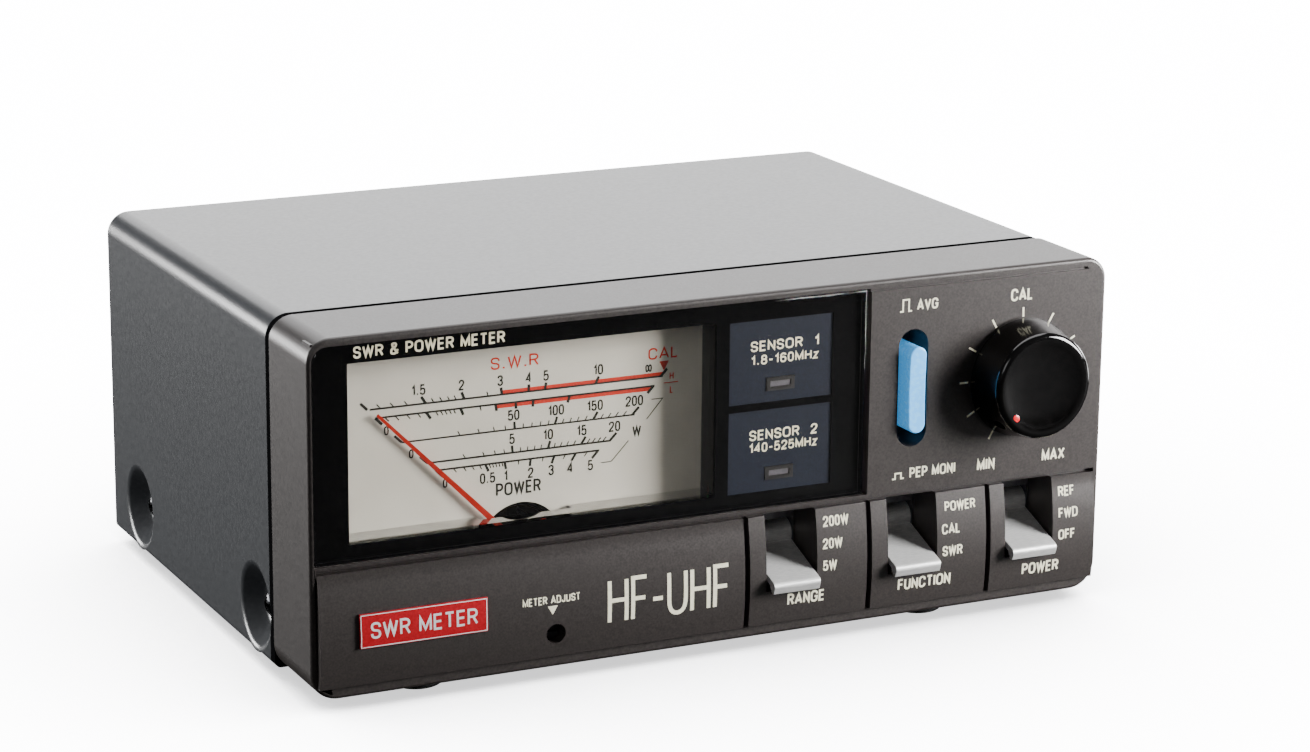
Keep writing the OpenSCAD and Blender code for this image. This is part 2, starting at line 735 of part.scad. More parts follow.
module iron_yoke() {
    color("#6d7075") stand() {
        difference() {
            union() {
                difference() {
                    bar_y(mx, pivot_z, yoke_out, magnet_y[0], magnet_y[1]);
                    bar_y(mx, pivot_z, yoke_in, magnet_y[0] - 1, magnet_y[1] + 1);
                }
                for (s = [-1, 1]) block([mx - 1, mx + 1], magnet_y,
                    s > 0 ? [pivot_z + 3, pivot_z + yoke_in + 0.5] : [pivot_z - yoke_in - 0.5, pivot_z - 3]);
            }
            bar_y(mx, pivot_z, core_r + snug, magnet_y[0] - 1, magnet_y[1] + 1);
        }
    }
}

module movement_bridges() {
    rear = coil_y[1] + 1.4;
    color("#c8a24c") stand() {
        bridge(bridge_y - 1.3, bridge_y, bridge_y - 1.3, magnet_y[0]);
        bridge(rear, rear + 1.4, magnet_y[1], rear + 1.4);
    }
}

// A bar across the axis on two legs that reach the yoke.
module bridge(bar0, bar1, leg0, leg1) {
    leg = [9, 11];
    difference() {
        union() {
            block([mx - leg[1], mx + leg[1]], [bar0, bar1], [pivot_z - 1.5, pivot_z + 1.5]);
            for (x = [[-leg[1], -leg[0]], leg])
                block([mx + x[0], mx + x[1]], [leg0, leg1], [pivot_z - 1.5, pivot_z + 1.5]);
        }
        bar_y(mx, pivot_z, 1.3, bar0 - 1, bar1 + 1);
    }
}

module jewel_screws() {
    r = 1.3 - snug;
    rear = coil_y[1] + 0.9;
    color("#d9b65c") stand() {
        difference() {
            bar_y(mx, pivot_z, r, bridge_y - 1.6, bridge_y + 0.5);
            bar_y(mx, pivot_z, staff_r + fit, bridge_y - 0.3, bridge_y + 1);
            block([mx - 2, mx + 2], [bridge_y - 2, bridge_y - 1.2], [pivot_z - 0.2, pivot_z + 0.2]);
        }
        difference() {
            bar_y(mx, pivot_z, r, rear, rear + 2.6);
            bar_y(mx, pivot_z, staff_r + fit, rear - 1, rear + 0.7);
            block([mx - 2, mx + 2], [rear + 2.2, rear + 3], [pivot_z - 0.2, pivot_z + 0.2]);
        }
    }
}

// One flat spiral hairspring in front of the coil and one behind it.
module hairsprings() {
    r0 = staff_r + 0.2;
    r1 = 8.5;
    turns = 4;
    steps = 24;
    w = 0.22;
    grow = (r1 - r0) / (turns * steps);
    inner = [for (i = [0:turns * steps])
        [(r0 + grow * i) * cos(i * 360 / steps), (r0 + grow * i) * sin(i * 360 / steps)]];
    outer = [for (i = [turns * steps:-1:0])
        [(r0 + grow * i + w) * cos(i * 360 / steps), (r0 + grow * i + w) * sin(i * 360 / steps)]];
    color("#b9853c") stand() for (y = spring_y)
        translate([mx, 0, pivot_z]) along_y(y, y + 0.3) polygon(concat(inner, outer));
}

module zero_screw() {
    head_y = face_t - 1.6;
    flange_y = face_t + 0.5 + 1.5 + slip;
    color("#1d1d1f") stand() translate([zero_x, 0, zero_z]) difference() {
        union() {
            bar_y(0, 0, zero_screw_r, head_y, flange_y + eps);
            bar_y(0, 0, 2.1, flange_y, flange_y + 0.9);
            rotate([0, zero_lean, 0]) bar_y(0, zero_throw, 0.4, flange_y, bridge_y + 0.6);
        }
        block([-2, 2], [head_y - 1, head_y + 0.7], [-0.3, 0.3]);
    }
}

// Fork on the front jewel screw that the zero screw's pin swings from side to side.
module zero_arm() {
    y0 = bridge_y + 0.12;
    reach = zero_dist - zero_throw;
    color("#c8a24c") stand() translate([mx, 0, pivot_z]) rotate([0, zero_lean, 0]) difference() {
        union() {
            bar_y(0, 0, 3, y0, y0 + 0.3);
            block([-1.5, 1.5], [y0, y0 + 0.3], [-reach - 1.2, 0]);
        }
        bar_y(0, 0, 1.3 + fit, y0 - 1, y0 + 1);
        block([-0.65, 0.65], [y0 - 1, y0 + 1], [-reach - 2, 1.2 - reach]);
    }
}

module dial_lamps() {
    color("#f0efe6") stand() for (s = [-1, 1]) {
        bar_y(mx + s * 18, dial_z0 + 20, 1.5, coil_y[0] + 1.5, coil_y[0] + 4);
        translate([mx + s * 18, coil_y[0] + 1.5, dial_z0 + 20]) sphere(r = 1.5);
    }
}

// ---------- CAL knob ----------

module cal_knob() {
    gap = 0.5;
    edge = 1;
    side = [for (a = [0:15:90])
        [knob_face_r - edge + edge * cos(a), knob_out - edge + edge * sin(a)]];
    skirt = concat([[knob_base_r - 0.2, gap], [knob_base_r, gap + 0.3], [knob_base_r - 0.3, 2.2]], side,
                   [[knob_face_r - 2.2, knob_out - 0.25], [3.5, knob_out - 0.45], [0, knob_out - 0.5]]);
    color("#0d0d0e") stand() at_knob() difference() {
        rotate_extrude() polygon(concat([[0, gap]], skirt));
        translate([0, 0, -eps]) cylinder(r = nut_r + 0.8, h = nut_t + 1.2);
        translate([0, 0, -eps]) cylinder(r = shaft_r + snug, h = knob_out - 1.7);
        rotate([0, 0, grub_turn]) translate([0, 0, nut_t + 3]) rotate([-90, 0, 0])
            cylinder(r = 1.25, h = 20);
    }
}

// Puts a piece on the control's axis: its own Z points out of the panel, its own Y up.
module at_knob() {
    translate([knob_x, 0, knob_z]) rotate([90, 0, 0]) children();
}

module knob_grub_screw() {
    color("#9a9da1") stand() at_knob() rotate([0, 0, grub_turn]) translate([0, 0, nut_t + 3])
        rotate([-90, 0, 0]) difference() {
            translate([0, 0, shaft_r + snug]) cylinder(r = 1.25 - snug, h = 3.6);
            translate([0, 0, shaft_r + 2.6]) cylinder(r = 0.6, h = 3, $fn = 6);
        }
}

module pot_shaft() {
    color("#aeb2b7") stand() at_knob() {
        translate([0, 0, -face_t - 1.5]) cylinder(r = shaft_r, h = knob_out - 1.7 + face_t + 1.4);
        translate([0, 0, -face_t - 2.4]) cylinder(r = pot_r - 2, h = 1);
    }
}

module pot_body() {
    bush_out = nut_t + 0.6;
    color("#7d7a70") stand() at_knob() difference() {
        union() {
            translate([0, 0, -face_t - 0.1]) cylinder(r = bush_r, h = bush_out + face_t + 0.1);
            translate([0, 0, -face_t - 8.1]) cylinder(r = pot_r, h = 8);
            for (s = [-1, 0, 1]) translate([s * 5 - 0.5, -pot_r + 1, -board_y])
                cube([1, 0.8, board_y - face_t - 6]);
        }
        translate([0, 0, -face_t - 3.6]) cylinder(r = pot_r - 1, h = 2.5);
        translate([0, 0, -face_t - 2]) cylinder(r = shaft_r + fit, h = face_t + 20);
    }
}

module pot_nut() {
    color("#c3c6ca") stand() at_knob() difference() {
        cylinder(r = nut_r, h = nut_t, $fn = 6);
        translate([0, 0, -1]) cylinder(r = bush_r + snug, h = nut_t + 2);
    }
}

// ---------- push button ----------

module button_cap() {
    dished = 0.35;
    dish_arc = (button_h * button_h / 4 + dished * dished) / (2 * dished);
    color("#7fb9ea") stand() difference() {
        along_y(-button_out, cap_back) slot(button_x, button_z, button_w, button_h);
        translate([button_x, -button_out - dish_arc + dished, button_z]) rotate([0, 90, 0])
            cylinder(r = dish_arc, h = button_w + 2, center = true, $fn = 200);
    }
}

module button_plunger() {
    color("#e4e4e0") stand() {
        bar_y(button_x, button_z, 3.8, cap_back, cap_back + 1);
        block([button_x - 2, button_x + 2], [cap_back + 1 - eps, switch_y + 6],
              [button_z - 2, button_z + 2]);
    }
}

module push_switch_body() {
    bore = 2 + slip;
    color("#3a3c3f") stand() difference() {
        block([button_x - 4.5, button_x + 4.5], [switch_y, board_y], [button_z - 6, button_z + 6]);
        block([button_x - bore, button_x + bore], [switch_y - 1, switch_y + 6.4 + button_travel],
              [button_z - bore, button_z + bore]);
    }
}

// A ring of n points of radius r around a path point, in the plane spanned by u and v.
function ring(c, u, v, r, n) = [for (i = [0:n - 1])
    c + r * (cos(i * 360 / n) * u + sin(i * 360 / n) * v)];

// Joins rings of n points each into a closed tube.
module tube(rings, n) {
    m = len(rings);
    sides = [for (k = [0:m - 2], i = [0:n - 1])
        let (a = k * n + i, b = k * n + (i + 1) % n) each [[a, b, b + n], [a, b + n, a + n]]];
    first = [[for (i = [n - 1:-1:0]) i]];
    last = [[for (i = [0:n - 1]) (m - 1) * n + i]];
    polyhedron([for (r = rings) each r], concat(sides, first, last));
}

module button_spring() {
    turns = 3;
    steps = 16;
    wire = 0.25;
    coil = 3.25;
    rise = switch_y - cap_back - 1 - 2 * wire;
    rings = [for (i = [0:turns * steps])
        let (a = i * 360 / steps, y = cap_back + 1 + wire + rise * i / (turns * steps))
        ring([coil * cos(a), y, coil * sin(a)], [cos(a), 0, sin(a)], [0, 1, 0], wire, 8)];
    color("#c9ccd1") stand() translate([button_x, 0, button_z]) tube(rings, 8);
}

// ---------- lever switches ----------

// A lever drawn level, then swung down to its lowest stop.
module lever(i) {
    lip_h = 2;
    nose = 0.9;
    color("#c4c7ca") stand() translate([lever_x[i], lever_y, lever_z]) rotate([lever_swing, 0, 0])
        difference() {
            union() {
                along_x(-lever_w / 2, lever_w / 2) {
                    translate([-lever_len + nose, -1.2]) square([lever_len - nose, 1.2]);
                    translate([-lever_len + nose, -nose]) circle(r = nose);
                    translate([-lever_len, -lip_h]) square([1, lip_h - nose]);
                    circle(r = hub_r);
                }
                along_x(-2, 2) {
                    translate([0, -tail_r / 2]) square([tail_len, tail_r]);
                    translate([tail_len, 0]) circle(r = tail_r);
                }
            }
            rotate([0, 90, 0]) cylinder(r = pin_r + fit, h = lever_w + 2, center = true);
        }
}

module range_lever() {
    lever(0);
}

module function_lever() {
    lever(1);
}

module power_lever() {
    lever(2);
}

module lever_switch_frames() {
    color("#b6babd") stand() for (x = lever_x) difference() {
        union() {
            for (s = [-1, 1]) block(s > 0 ?
                  [x + ear_in, x + ear_in + ear_t] : [x - ear_in - ear_t, x - ear_in],
                                    [recess_d + 0.3, base_y], [lever_z - 6.5, lever_z + 6.5]);
            block([x - ear_in - eps, x + ear_in + eps], [recess_d + 0.3, recess_d + 0.8],
                  [lever_z + hub_r + 0.6, lever_z + 6.5]);
            block([x - ear_in - eps, x + ear_in + eps], [recess_d + 0.3, recess_d + 0.8],
                  [lever_z - 6.5, lever_z - hub_r - 0.6]);
        }
        translate([x, lever_y, lever_z]) rotate([0, 90, 0])
            cylinder(r = pin_r + snug, h = 40, center = true);
    }
}

module lever_pivot_pins() {
    color("#d0d3d6") stand() for (x = lever_x) translate([x, lever_y, lever_z]) rotate([0, 90, 0])
        cylinder(r = pin_r, h = 2 * (ear_in + ear_t) + 0.6, center = true);
}

module lever_switch_bases() {
    color("#8a4a2a") stand() for (x = lever_x) {
        block([x - ear_in - ear_t, x + ear_in + ear_t], [base_y, board_y],
              [lever_z - 6.5, lever_z + 6.5]);
        for (s = [-1, 1])
            block(s > 0 ?
                  [x + slider_half + slip, x + ear_in - slip] : [x - ear_in + slip, x - slider_half - slip],
                  [slider_y + 0.5, base_y + eps], [lever_z - 5, lever_z + 5]);
    }
}

// The contact slider, at the height that the lever's tail gives it at rest.
module slider(i) {
    rest = tail_len * sin(lever_swing);
    half_h = 2.2;
    color("#e9e6da") stand() translate([lever_x[i], 0, lever_z + rest]) difference() {
        block([-slider_half, slider_half], [slider_y, base_y - 0.2], [-half_h, half_h]);
        block([-2 - loose, 2 + loose], [slider_y - 1, lever_y + tail_len + tail_r + loose],
              [-tail_r - 0.25, tail_r + 0.25]);
    }
}

module range_slider() {
    slider(0);
}

module function_slider() {
    slider(1);
}

module power_slider() {
    slider(2);
}

// ---------- front board ----------

module front_board() {
    color("#2f6b3a") stand() difference() {
        block(board_x, [board_y, board_y + board_t], board_z);
        for (p = post_at) bar_y(p[0], p[1], 1.3, board_y - 1, board_y + 3);
    }
}

module board_screws() {
    color("#c3c6ca") stand() for (p = post_at) {
        bar_y(p[0], p[1], 1 - snug, board_y - 6, board_y + board_t + eps);
        bar_y(p[0], p[1], 2.2, board_y + board_t, board_y + board_t + 1.3);
    }
}

// ---------- rear ----------

// Repeats a piece at the four coaxial sockets.
module at_sockets() {
    for (s = [-1, 1], x = socket_x) translate([s * x, 0, socket_z]) children();
}

module at_socket_screws() {
    for (a = [-1, 1], b = [-1, 1]) translate([a * screw_pitch / 2, 0, b * screw_pitch / 2]) children();
}

module socket_holes(y0, y1) {
    bar_y(0, 0, 6.2, y0, y1);
    at_socket_screws() bar_y(0, 0, 1.6, y0, y1);
}

module sensor_box(s) {
    x = [s * box_x - box_w / 2, s * box_x + box_w / 2];
    y1 = rear_y - sheet_t;
    in_x = [x[0] + box_t, x[1] - box_t];
    in_y = [box_y0 + box_t, y1 - box_t];
    color("#b9b3a2") stand() difference() {
        block(x, [box_y0, y1], [box_z0, box_z0 + box_h]);
        difference() {
            block(in_x, in_y, [box_z0 + box_t, box_z0 + box_h + 1]);
            for (e = [[in_x[0] - 1, in_x[0] + 1.5], [in_x[1] - 1.5, in_x[1] + 1]])
                block(e, [box_y0, y1], [box_z0, shelf_z]);
        }
        for (x1 = socket_x) translate([s * x1, 0, socket_z]) socket_holes(y1 - 3, y1 + 1);
    }
}

module sensor1_box() {
    sensor_box(-1);
}

module sensor2_box() {
    sensor_box(1);
}

module sensor_lids() {
    z = box_z0 + box_h;
    color("#c9c3b2") stand() for (s = [-1, 1]) {
        block([s * box_x - box_w / 2, s * box_x + box_w / 2], [box_y0, rear_y - sheet_t], [z, z + 0.8]);
        block([s * box_x - box_w / 2 + box_t + slip, s * box_x + box_w / 2 - box_t - slip],
              [box_y0 + box_t + slip, box_y0 + box_t + slip + 0.8], [z - 3, z + eps]);
    }
}

module line_conductors() {
    pad = 3;
    color("#c77f3f") stand() for (s = [-1, 1])
        block([s * box_x - (socket_x[1] - socket_x[0]) / 2 - pad,
               s * box_x + (socket_x[1] - socket_x[0]) / 2 + pad],
              [line_y, line_y + line_t], [socket_z - 2.5, socket_z + 2.5]);
}

module coupler_boards() {
    gap = box_t + 0.2;
    color("#2f6b3a") stand() for (s = [-1, 1])
        block([s * box_x - box_w / 2 + gap, s * box_x + box_w / 2 - gap],
              [box_y0 + gap, rear_y - sheet_t - gap - 3], [shelf_z, shelf_z + board_t]);
}

module current_transformers() {
    color("#3c5a78") stand() for (s = [-1, 1])
        translate([s * box_x - 3.5, line_y + line_t / 2, socket_z]) rotate([0, 90, 0]) difference() {
            cylinder(r = ring_r, h = 7);
            translate([0, 0, -1]) cylinder(r = 4.5, h = 9);
        }
}

module coax_sockets() {
    neck_y = rear_y - sheet_t - box_t - 1.5;
    color("#c5c8cb") stand() at_sockets() difference() {
        union() {
            block([-flange_w / 2, flange_w / 2], [rear_y, socket_y], [-flange_w / 2, flange_w / 2]);
            bar_y(0, 0, socket_r, socket_y - eps, rear_end);
            bar_y(0, 0, 6, neck_y, rear_y + eps);
        }
        bar_y(0, 0, 5.75, rear_end - 9, rear_end + 1);
        bar_y(0, 0, 5.05, neck_y - 1, rear_end);
        at_socket_screws() bar_y(0, 0, 1.6, rear_y - 1, socket_y + 1);
    }
}

module coax_insulators() {
    color("#efe9dc") stand() at_sockets() difference() {
        bar_y(0, 0, 5, rear_y - sheet_t - box_t - 2.5, rear_end - 3);
        bar_y(0, 0, 2.4 + snug, 0, rear_end);
    }
}

module coax_contacts() {
    tip = rear_end - 2.5;
    color("#d8b04a") stand() at_sockets() difference() {
        bar_y(0, 0, 2.4, line_y + line_t, tip);
        bar_y(0, 0, contact_bore_r, tip - 12, tip + 1);
    }
}

module socket_screws() {
    color("#c9ccd1") stand() at_sockets() at_socket_screws() difference() {
        union() {
            bar_y(0, 0, 1.45, rear_y - 3.5, socket_y + eps);
            bar_y(0, 0, 2.6, socket_y, socket_y + 1.5);
        }
        block([-3, 3], [socket_y + 0.8, socket_y + 3], [-0.35, 0.35]);
    }
}

module dc_jack() {
    depth = 9;
    color("#151516") stand() translate([0, 0, socket_z]) {
        difference() {
            union() {
                bar_y(0, 0, 5.5, rear_y, inlet_y);
                bar_y(0, 0, 4, rear_y - 10, rear_y + eps);
            }
            difference() {
                bar_y(0, 0, inlet_r, inlet_y - depth, inlet_y + 1);
                bar_y(0, 0, 1.05, 0, inlet_y - 0.5);
            }
        }
        difference() {
            bar_y(0, 0, 6, rear_y - sheet_t - 2, rear_y - sheet_t, $fn = 6);
            bar_y(0, 0, 4 + snug, 0, rear_y);
        }
    }
}

// Flat leads from the sensor boxes, the meter and the power inlet to the front board.
// Each one is [start x, start y, end x, y of its cross run, height].
lead_w = 5;
lead_t = 1.1;
lead_routes = [[-14, box_y0, board_x[0] + 8.5, 50, 20],
               [32, box_y0, board_x[0] + 20.5, 46, 13],
               [-16, tub_y1, board_x[0] + 13.5, 40, 12],
               [0, rear_y - 10, board_x[0] + 15.5, 57, socket_z]];

module flat_lead(x0, y0, x1, y1, z) {
    h = lead_t / 2;
    j = y0 > y1 ? h : -h;
    k0 = x1 > x0 ? h : -h;
    k1 = y0 > y1 ? k0 : -k0;
    translate([0, 0, z - lead_w / 2]) linear_extrude(height = lead_w) polygon([
        [x0 - k0, y0], [x0 - k0, y1 - j], [x1 - k1, y1 - j], [x1 - k1, board_y + board_t],
        [x1 + k1, board_y + board_t], [x1 + k1, y1 + j], [x0 + k0, y1 + j], [x0 + k0, y0]]);
}

module internal_leads() {
    color("#8f1f1f") stand() for (p = lead_routes) flat_lead(p[0], p[1], p[2], p[3], p[4]);
}

front_panel();
top_cover();
chassis();
cover_screws();
panel_screws();
rubber_feet();
window_lens();
window_mask();
badge();
sensor1_film();
sensor2_film();
led_frames();
light_guides();
band_leds();
meter_cover();
meter_housing();
dial_plate();
pointer();
moving_coil();
pointer_staff();
core_magnet();
iron_yoke();
movement_bridges();
jewel_screws();
hairsprings();
zero_screw();
zero_arm();
dial_lamps();
cal_knob();
knob_grub_screw();
pot_shaft();
pot_body();
pot_nut();
button_cap();
button_plunger();
push_switch_body();
button_spring();
range_lever();
function_lever();
power_lever();
lever_switch_frames();
lever_switch_bases();
range_slider();
function_slider();
power_slider();
lever_pivot_pins();
front_board();
board_screws();
sensor1_box();
sensor2_box();
sensor_lids();
line_conductors();
coupler_boards();
current_transformers();
coax_sockets();
coax_insulators();
coax_contacts();
socket_screws();
dc_jack();
internal_leads();
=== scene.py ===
import math

import bmesh
import bpy
from mathutils import Matrix, Vector


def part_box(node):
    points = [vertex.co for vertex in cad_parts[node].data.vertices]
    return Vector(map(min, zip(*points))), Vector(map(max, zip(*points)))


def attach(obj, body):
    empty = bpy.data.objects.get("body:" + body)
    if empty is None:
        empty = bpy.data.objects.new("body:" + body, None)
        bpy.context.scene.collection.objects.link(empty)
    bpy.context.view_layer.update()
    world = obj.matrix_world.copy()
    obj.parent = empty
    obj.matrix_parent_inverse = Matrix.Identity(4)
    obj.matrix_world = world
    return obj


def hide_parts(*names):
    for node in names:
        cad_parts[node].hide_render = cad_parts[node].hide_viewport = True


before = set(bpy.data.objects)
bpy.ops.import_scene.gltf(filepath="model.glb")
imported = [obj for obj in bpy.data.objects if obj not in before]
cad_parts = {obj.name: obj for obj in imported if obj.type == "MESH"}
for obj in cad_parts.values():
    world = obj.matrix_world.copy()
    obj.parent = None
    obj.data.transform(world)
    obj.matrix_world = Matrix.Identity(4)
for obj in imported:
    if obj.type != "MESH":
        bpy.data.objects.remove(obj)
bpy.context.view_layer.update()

# ---------------------------------------------------------------- camera
# A long lens on a stand, a little above the instrument and to its left. Points are given in mm
# from the middle of the panel's lower front edge: X right, Y back, Z up.
MM = 0.001
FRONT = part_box("window_lens")[0].y
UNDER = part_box("front_panel")[0].z


def at(x, y, z):
    """A point of the frame from mm measured at the panel's lower front edge."""
    return Vector((x * MM, FRONT + y * MM, UNDER + z * MM))


def mm(point):
    """The mm of the panel for a point of the frame."""
    return point.x / MM, (point.y - FRONT) / MM, (point.z - UNDER) / MM


stand_turn, stand_rise, stand_roll = (math.radians(a) for a in (-25.971, 14.928, 0.566))
stand_aim, stand_distance = at(5.663, 40, 38.382), 670.205
stand_back = Vector((math.sin(stand_turn) * math.cos(stand_rise),
                     -math.cos(stand_turn) * math.cos(stand_rise), math.sin(stand_rise)))
stand_side = Vector((math.cos(stand_turn), math.sin(stand_turn), 0))
stand_up = stand_back.cross(stand_side)
tilt, lean = math.cos(stand_roll), math.sin(stand_roll)
stand_axes = Matrix((tilt * stand_side + lean * stand_up, tilt * stand_up - lean * stand_side,
                     stand_back)).transposed().to_4x4()
long_lens = bpy.data.cameras.new("long_lens")
long_lens.lens, long_lens.sensor_width = 99.63, 36
long_lens.clip_start, long_lens.clip_end = 0.05, 20
camera = bpy.data.objects.new("camera_on_stand", long_lens)
camera.matrix_world = Matrix.Translation(stand_aim + stand_back * stand_distance * MM) @ stand_axes
bpy.context.scene.collection.objects.link(camera)
bpy.context.scene.camera = camera


# ---------------------------------------------------------------- floor and lamps
# A sheet of white card under soft boxes: wide ones overhead and far behind, a low one at each
# side of the back, one at the right front, and a weak fill at the left front.
def linear(code):
    """An sRGB hex colour as linear RGBA."""
    parts = [int(code[i:i + 2], 16) / 255 for i in (1, 3, 5)]
    return tuple(c / 12.92 if c <= 0.04045 else ((c + 0.055) / 1.055) ** 2.4 for c in parts) + (1.0,)


def add(tree, kind, options=None, inputs=None):
    """Adds a node; options are its own settings, inputs are values or sockets by name or number."""
    made = tree.nodes.new(kind)
    for name, value in (options or {}).items():
        setattr(made, name, value)
    for name, value in (inputs or {}).items():
        if isinstance(value, bpy.types.NodeSocket):
            tree.links.new(value, made.inputs[name])
        else:
            made.inputs[name].default_value = value
    return made


def finish(name, dark, light, grain, gloss=(0.4, 0.5), depth=0.0, stretch=(1, 1, 1), coat=None,
           **shader):
    """A finish whose colour and gloss vary over grains of a real size in mm."""
    material = bpy.data.materials.new(name)
    material.use_nodes = True
    tree = material.node_tree
    tree.nodes.clear()
    place = add(tree, "ShaderNodeTexCoord")
    spread = add(tree, "ShaderNodeMapping", None, {"Vector": place.outputs["Object"], "Scale": stretch})
    grains = add(tree, "ShaderNodeTexNoise", {"label": "grains"},
                 {"Vector": spread.outputs["Vector"], "Scale": 1 / (grain * MM), "Detail": 3.0})
    colour = add(tree, "ShaderNodeValToRGB", {"label": "colour"}, {"Fac": grains.outputs["Fac"]})
    for stop, place_on, code in ((0, 0.3, dark), (1, 0.7, light)):
        colour.color_ramp.elements[stop].position = place_on
        colour.color_ramp.elements[stop].color = linear(code)
    sheen = add(tree, "ShaderNodeMapRange", None, {
        "Value": grains.outputs["Fac"], "From Min": 0.3, "From Max": 0.7,
        "To Min": gloss[0], "To Max": gloss[1]})
    values = {"Base Color": colour.outputs["Color"], "Roughness": sheen.outputs["Result"]}
    if depth:
        relief = add(tree, "ShaderNodeBump", None, {
            "Height": grains.outputs["Fac"], "Distance": depth * MM, "Strength": 1.0})
        values["Normal"] = relief.outputs["Normal"]
    if coat:
        values["Coat Weight"], values["Coat Roughness"] = coat
    for key, value in shader.items():
        values[key.replace("_", " ").title().replace("Ior", "IOR")] = value
    surface = add(tree, "ShaderNodeBsdfPrincipled", None, values)
    add(tree, "ShaderNodeOutputMaterial", None, {"Surface": surface.outputs["BSDF"]})
    return material


def principled(material):
    """The main shader node of a finish."""
    return next(n for n in material.node_tree.nodes if n.type == "BSDF_PRINCIPLED")


def output(material):
    """The socket that takes a material's last shader."""
    return next(n for n in material.node_tree.nodes if n.type == "OUTPUT_MATERIAL").inputs["Surface"]


def softbox(name, place, target, size, power):
    """A rectangular lamp with its place and size in metres and its power in watts."""
    data = bpy.data.lights.new(name, "AREA")
    data.shape, data.size, data.size_y = "RECTANGLE", size[0], size[1]
    data.energy = power
    lamp = bpy.data.objects.new(name, data)
    lamp.location = place
    lamp.rotation_mode = "QUATERNION"
    lamp.rotation_quaternion = (Vector(target) - Vector(place)).to_track_quat("-Z", "Y")
    bpy.context.scene.collection.objects.link(lamp)


# To the camera the card shows as a white glow with a painted contact shadow, darker near the instrument;
# what it throws back on the instrument is dim.
card = finish("white_card", "#161617", "#181818", 40, (0.75, 0.85), specular_ior_level=0.1)
shade = card.node_tree
path = add(shade, "ShaderNodeLightPath")
near = add(shade, "ShaderNodeAmbientOcclusion", {"samples": 6}, {"Distance": 0.14})
fall = add(shade, "ShaderNodeMapRange", {"label": "painted contact shadow"}, {
    "Value": near.outputs["AO"], "From Min": 0.35, "From Max": 1.0, "To Min": 1.2, "To Max": 16.0})
lift = add(shade, "ShaderNodeEmission", None, {
    "Color": linear("#fdfdff"), "Strength": fall.outputs["Result"]})
seen = add(shade, "ShaderNodeMixShader", None, {"Fac": path.outputs["Is Camera Ray"]})
both = add(shade, "ShaderNodeAddShader")
board = principled(card)
shade.links.new(board.outputs[0], both.inputs[0])
shade.links.new(lift.outputs[0], both.inputs[1])
shade.links.new(board.outputs[0], seen.inputs[1])
shade.links.new(both.outputs[0], seen.inputs[2])
shade.links.new(seen.outputs[0], output(card))
card_half = 3.0
sheet = bpy.data.meshes.new("card_floor")
sheet.from_pydata([(-card_half, -card_half, 0), (card_half, -card_half, 0), (card_half, card_half, 0),
                   (-card_half, card_half, 0)], [], [(0, 1, 2, 3)])
sheet.materials.append(card)
floor = bpy.data.objects.new("card_floor", sheet)
bpy.context.scene.collection.objects.link(floor)

room = bpy.data.worlds.new("dim_room")
room.use_nodes = True
air = room.node_tree.nodes["Background"].inputs
air["Color"].default_value, air["Strength"].default_value = linear("#eef1f5"), 0.1
bpy.context.scene.world = room
softbox("overhead_box", (0.1, 0.3, 0.9), (0, 0, 0), (1.0, 0.8), 10)
softbox("right_front_box", (0.34, -0.26, 0.14), (0, -0.05, 0.035), (0.17, 0.2), 7)
softbox("back_box", (0.85, 1.75, 0.6), (0, 0, 0.06), (2.2, 1.1), 24)
softbox("left_back_box", (-0.9, 0.75, 0.14), (0, 0, 0.03), (0.9, 0.28), 24)
softbox("right_back_box", (1.0, 0.5, 0.1), (0.06, -0.05, 0.04), (0.7, 0.2), 9)
softbox("right_floor_glow", (0.36, 0.06, 0.002), (0.36, 0.06, 1), (0.25, 0.3), 1.0)
softbox("left_front_fill", (-0.7, -0.8, 0.5), (0, 0, 0.03), (0.4, 0.4), 1.5)


# ---------------------------------------------------------------- front panel
# The moulded front of the case: a rounded frame with a window recess, a flush control plate
# and bulged lower blocks. Moulded ABS in a taupe metallic paint.
def cad_copy(node):
    """A merged copy of a CAD node's mesh, with its flat areas as single faces."""
    bm = bmesh.new()
    bm.from_mesh(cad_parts[node].data)
    bmesh.ops.remove_doubles(bm, verts=bm.verts, dist=0.002 * MM)
    bmesh.ops.dissolve_limit(bm, angle_limit=math.radians(0.4), verts=bm.verts, edges=bm.edges)
    bm.normal_update()
    return bm


def corner(edge):
    """The outer angle of an edge in degrees, negative where it is a valley."""
    return math.degrees(edge.calc_face_angle_signed(0))


def ease(bm, chosen, width, steps):
    """Rounds the chosen edges over a width in mm."""
    if chosen:
        bmesh.ops.bevel(bm, geom=chosen, offset=width * MM, offset_type="OFFSET", segments=steps,
                        profile=0.5, affect="EDGES", clamp_overlap=True)
        bm.normal_update()


def smooth(bm, angle=30):
    """Smooth faces with sharp edges past an angle."""
    for f in bm.faces:
        f.smooth = True
    for e in bm.edges:
        e.smooth = len(e.link_faces) == 2 and abs(corner(e)) < angle


def made(name, bm, material):
    """Turns a finished mesh into an object of the scene."""
    mesh = bpy.data.meshes.new(name)
    bm.to_mesh(mesh)
    bm.free()
    mesh.materials.clear()
    mesh.materials.append(material)
    thing = bpy.data.objects.new(name, mesh)
    bpy.context.scene.collection.objects.link(thing)
    return thing


def flat_shading(thing):
    """Keeps big flat faces flat beside rounded edges."""
    weighted = thing.modifiers.new("flat", "WEIGHTED_NORMAL")
    weighted.keep_sharp = True


# Metallic paint: fine flakes, drawn 0.35 mm wide so that they show, under a satin clear coat.
panel_paint = finish("taupe_metallic_paint", "#2a2625", "#393432", 0.35, (0.36, 0.46), 0.004,
                     metallic=0.35, coat=(0.25, 0.3))
case_half, case_top, top_round, low_round = 77.5, 63.0, 4.2, 5.0


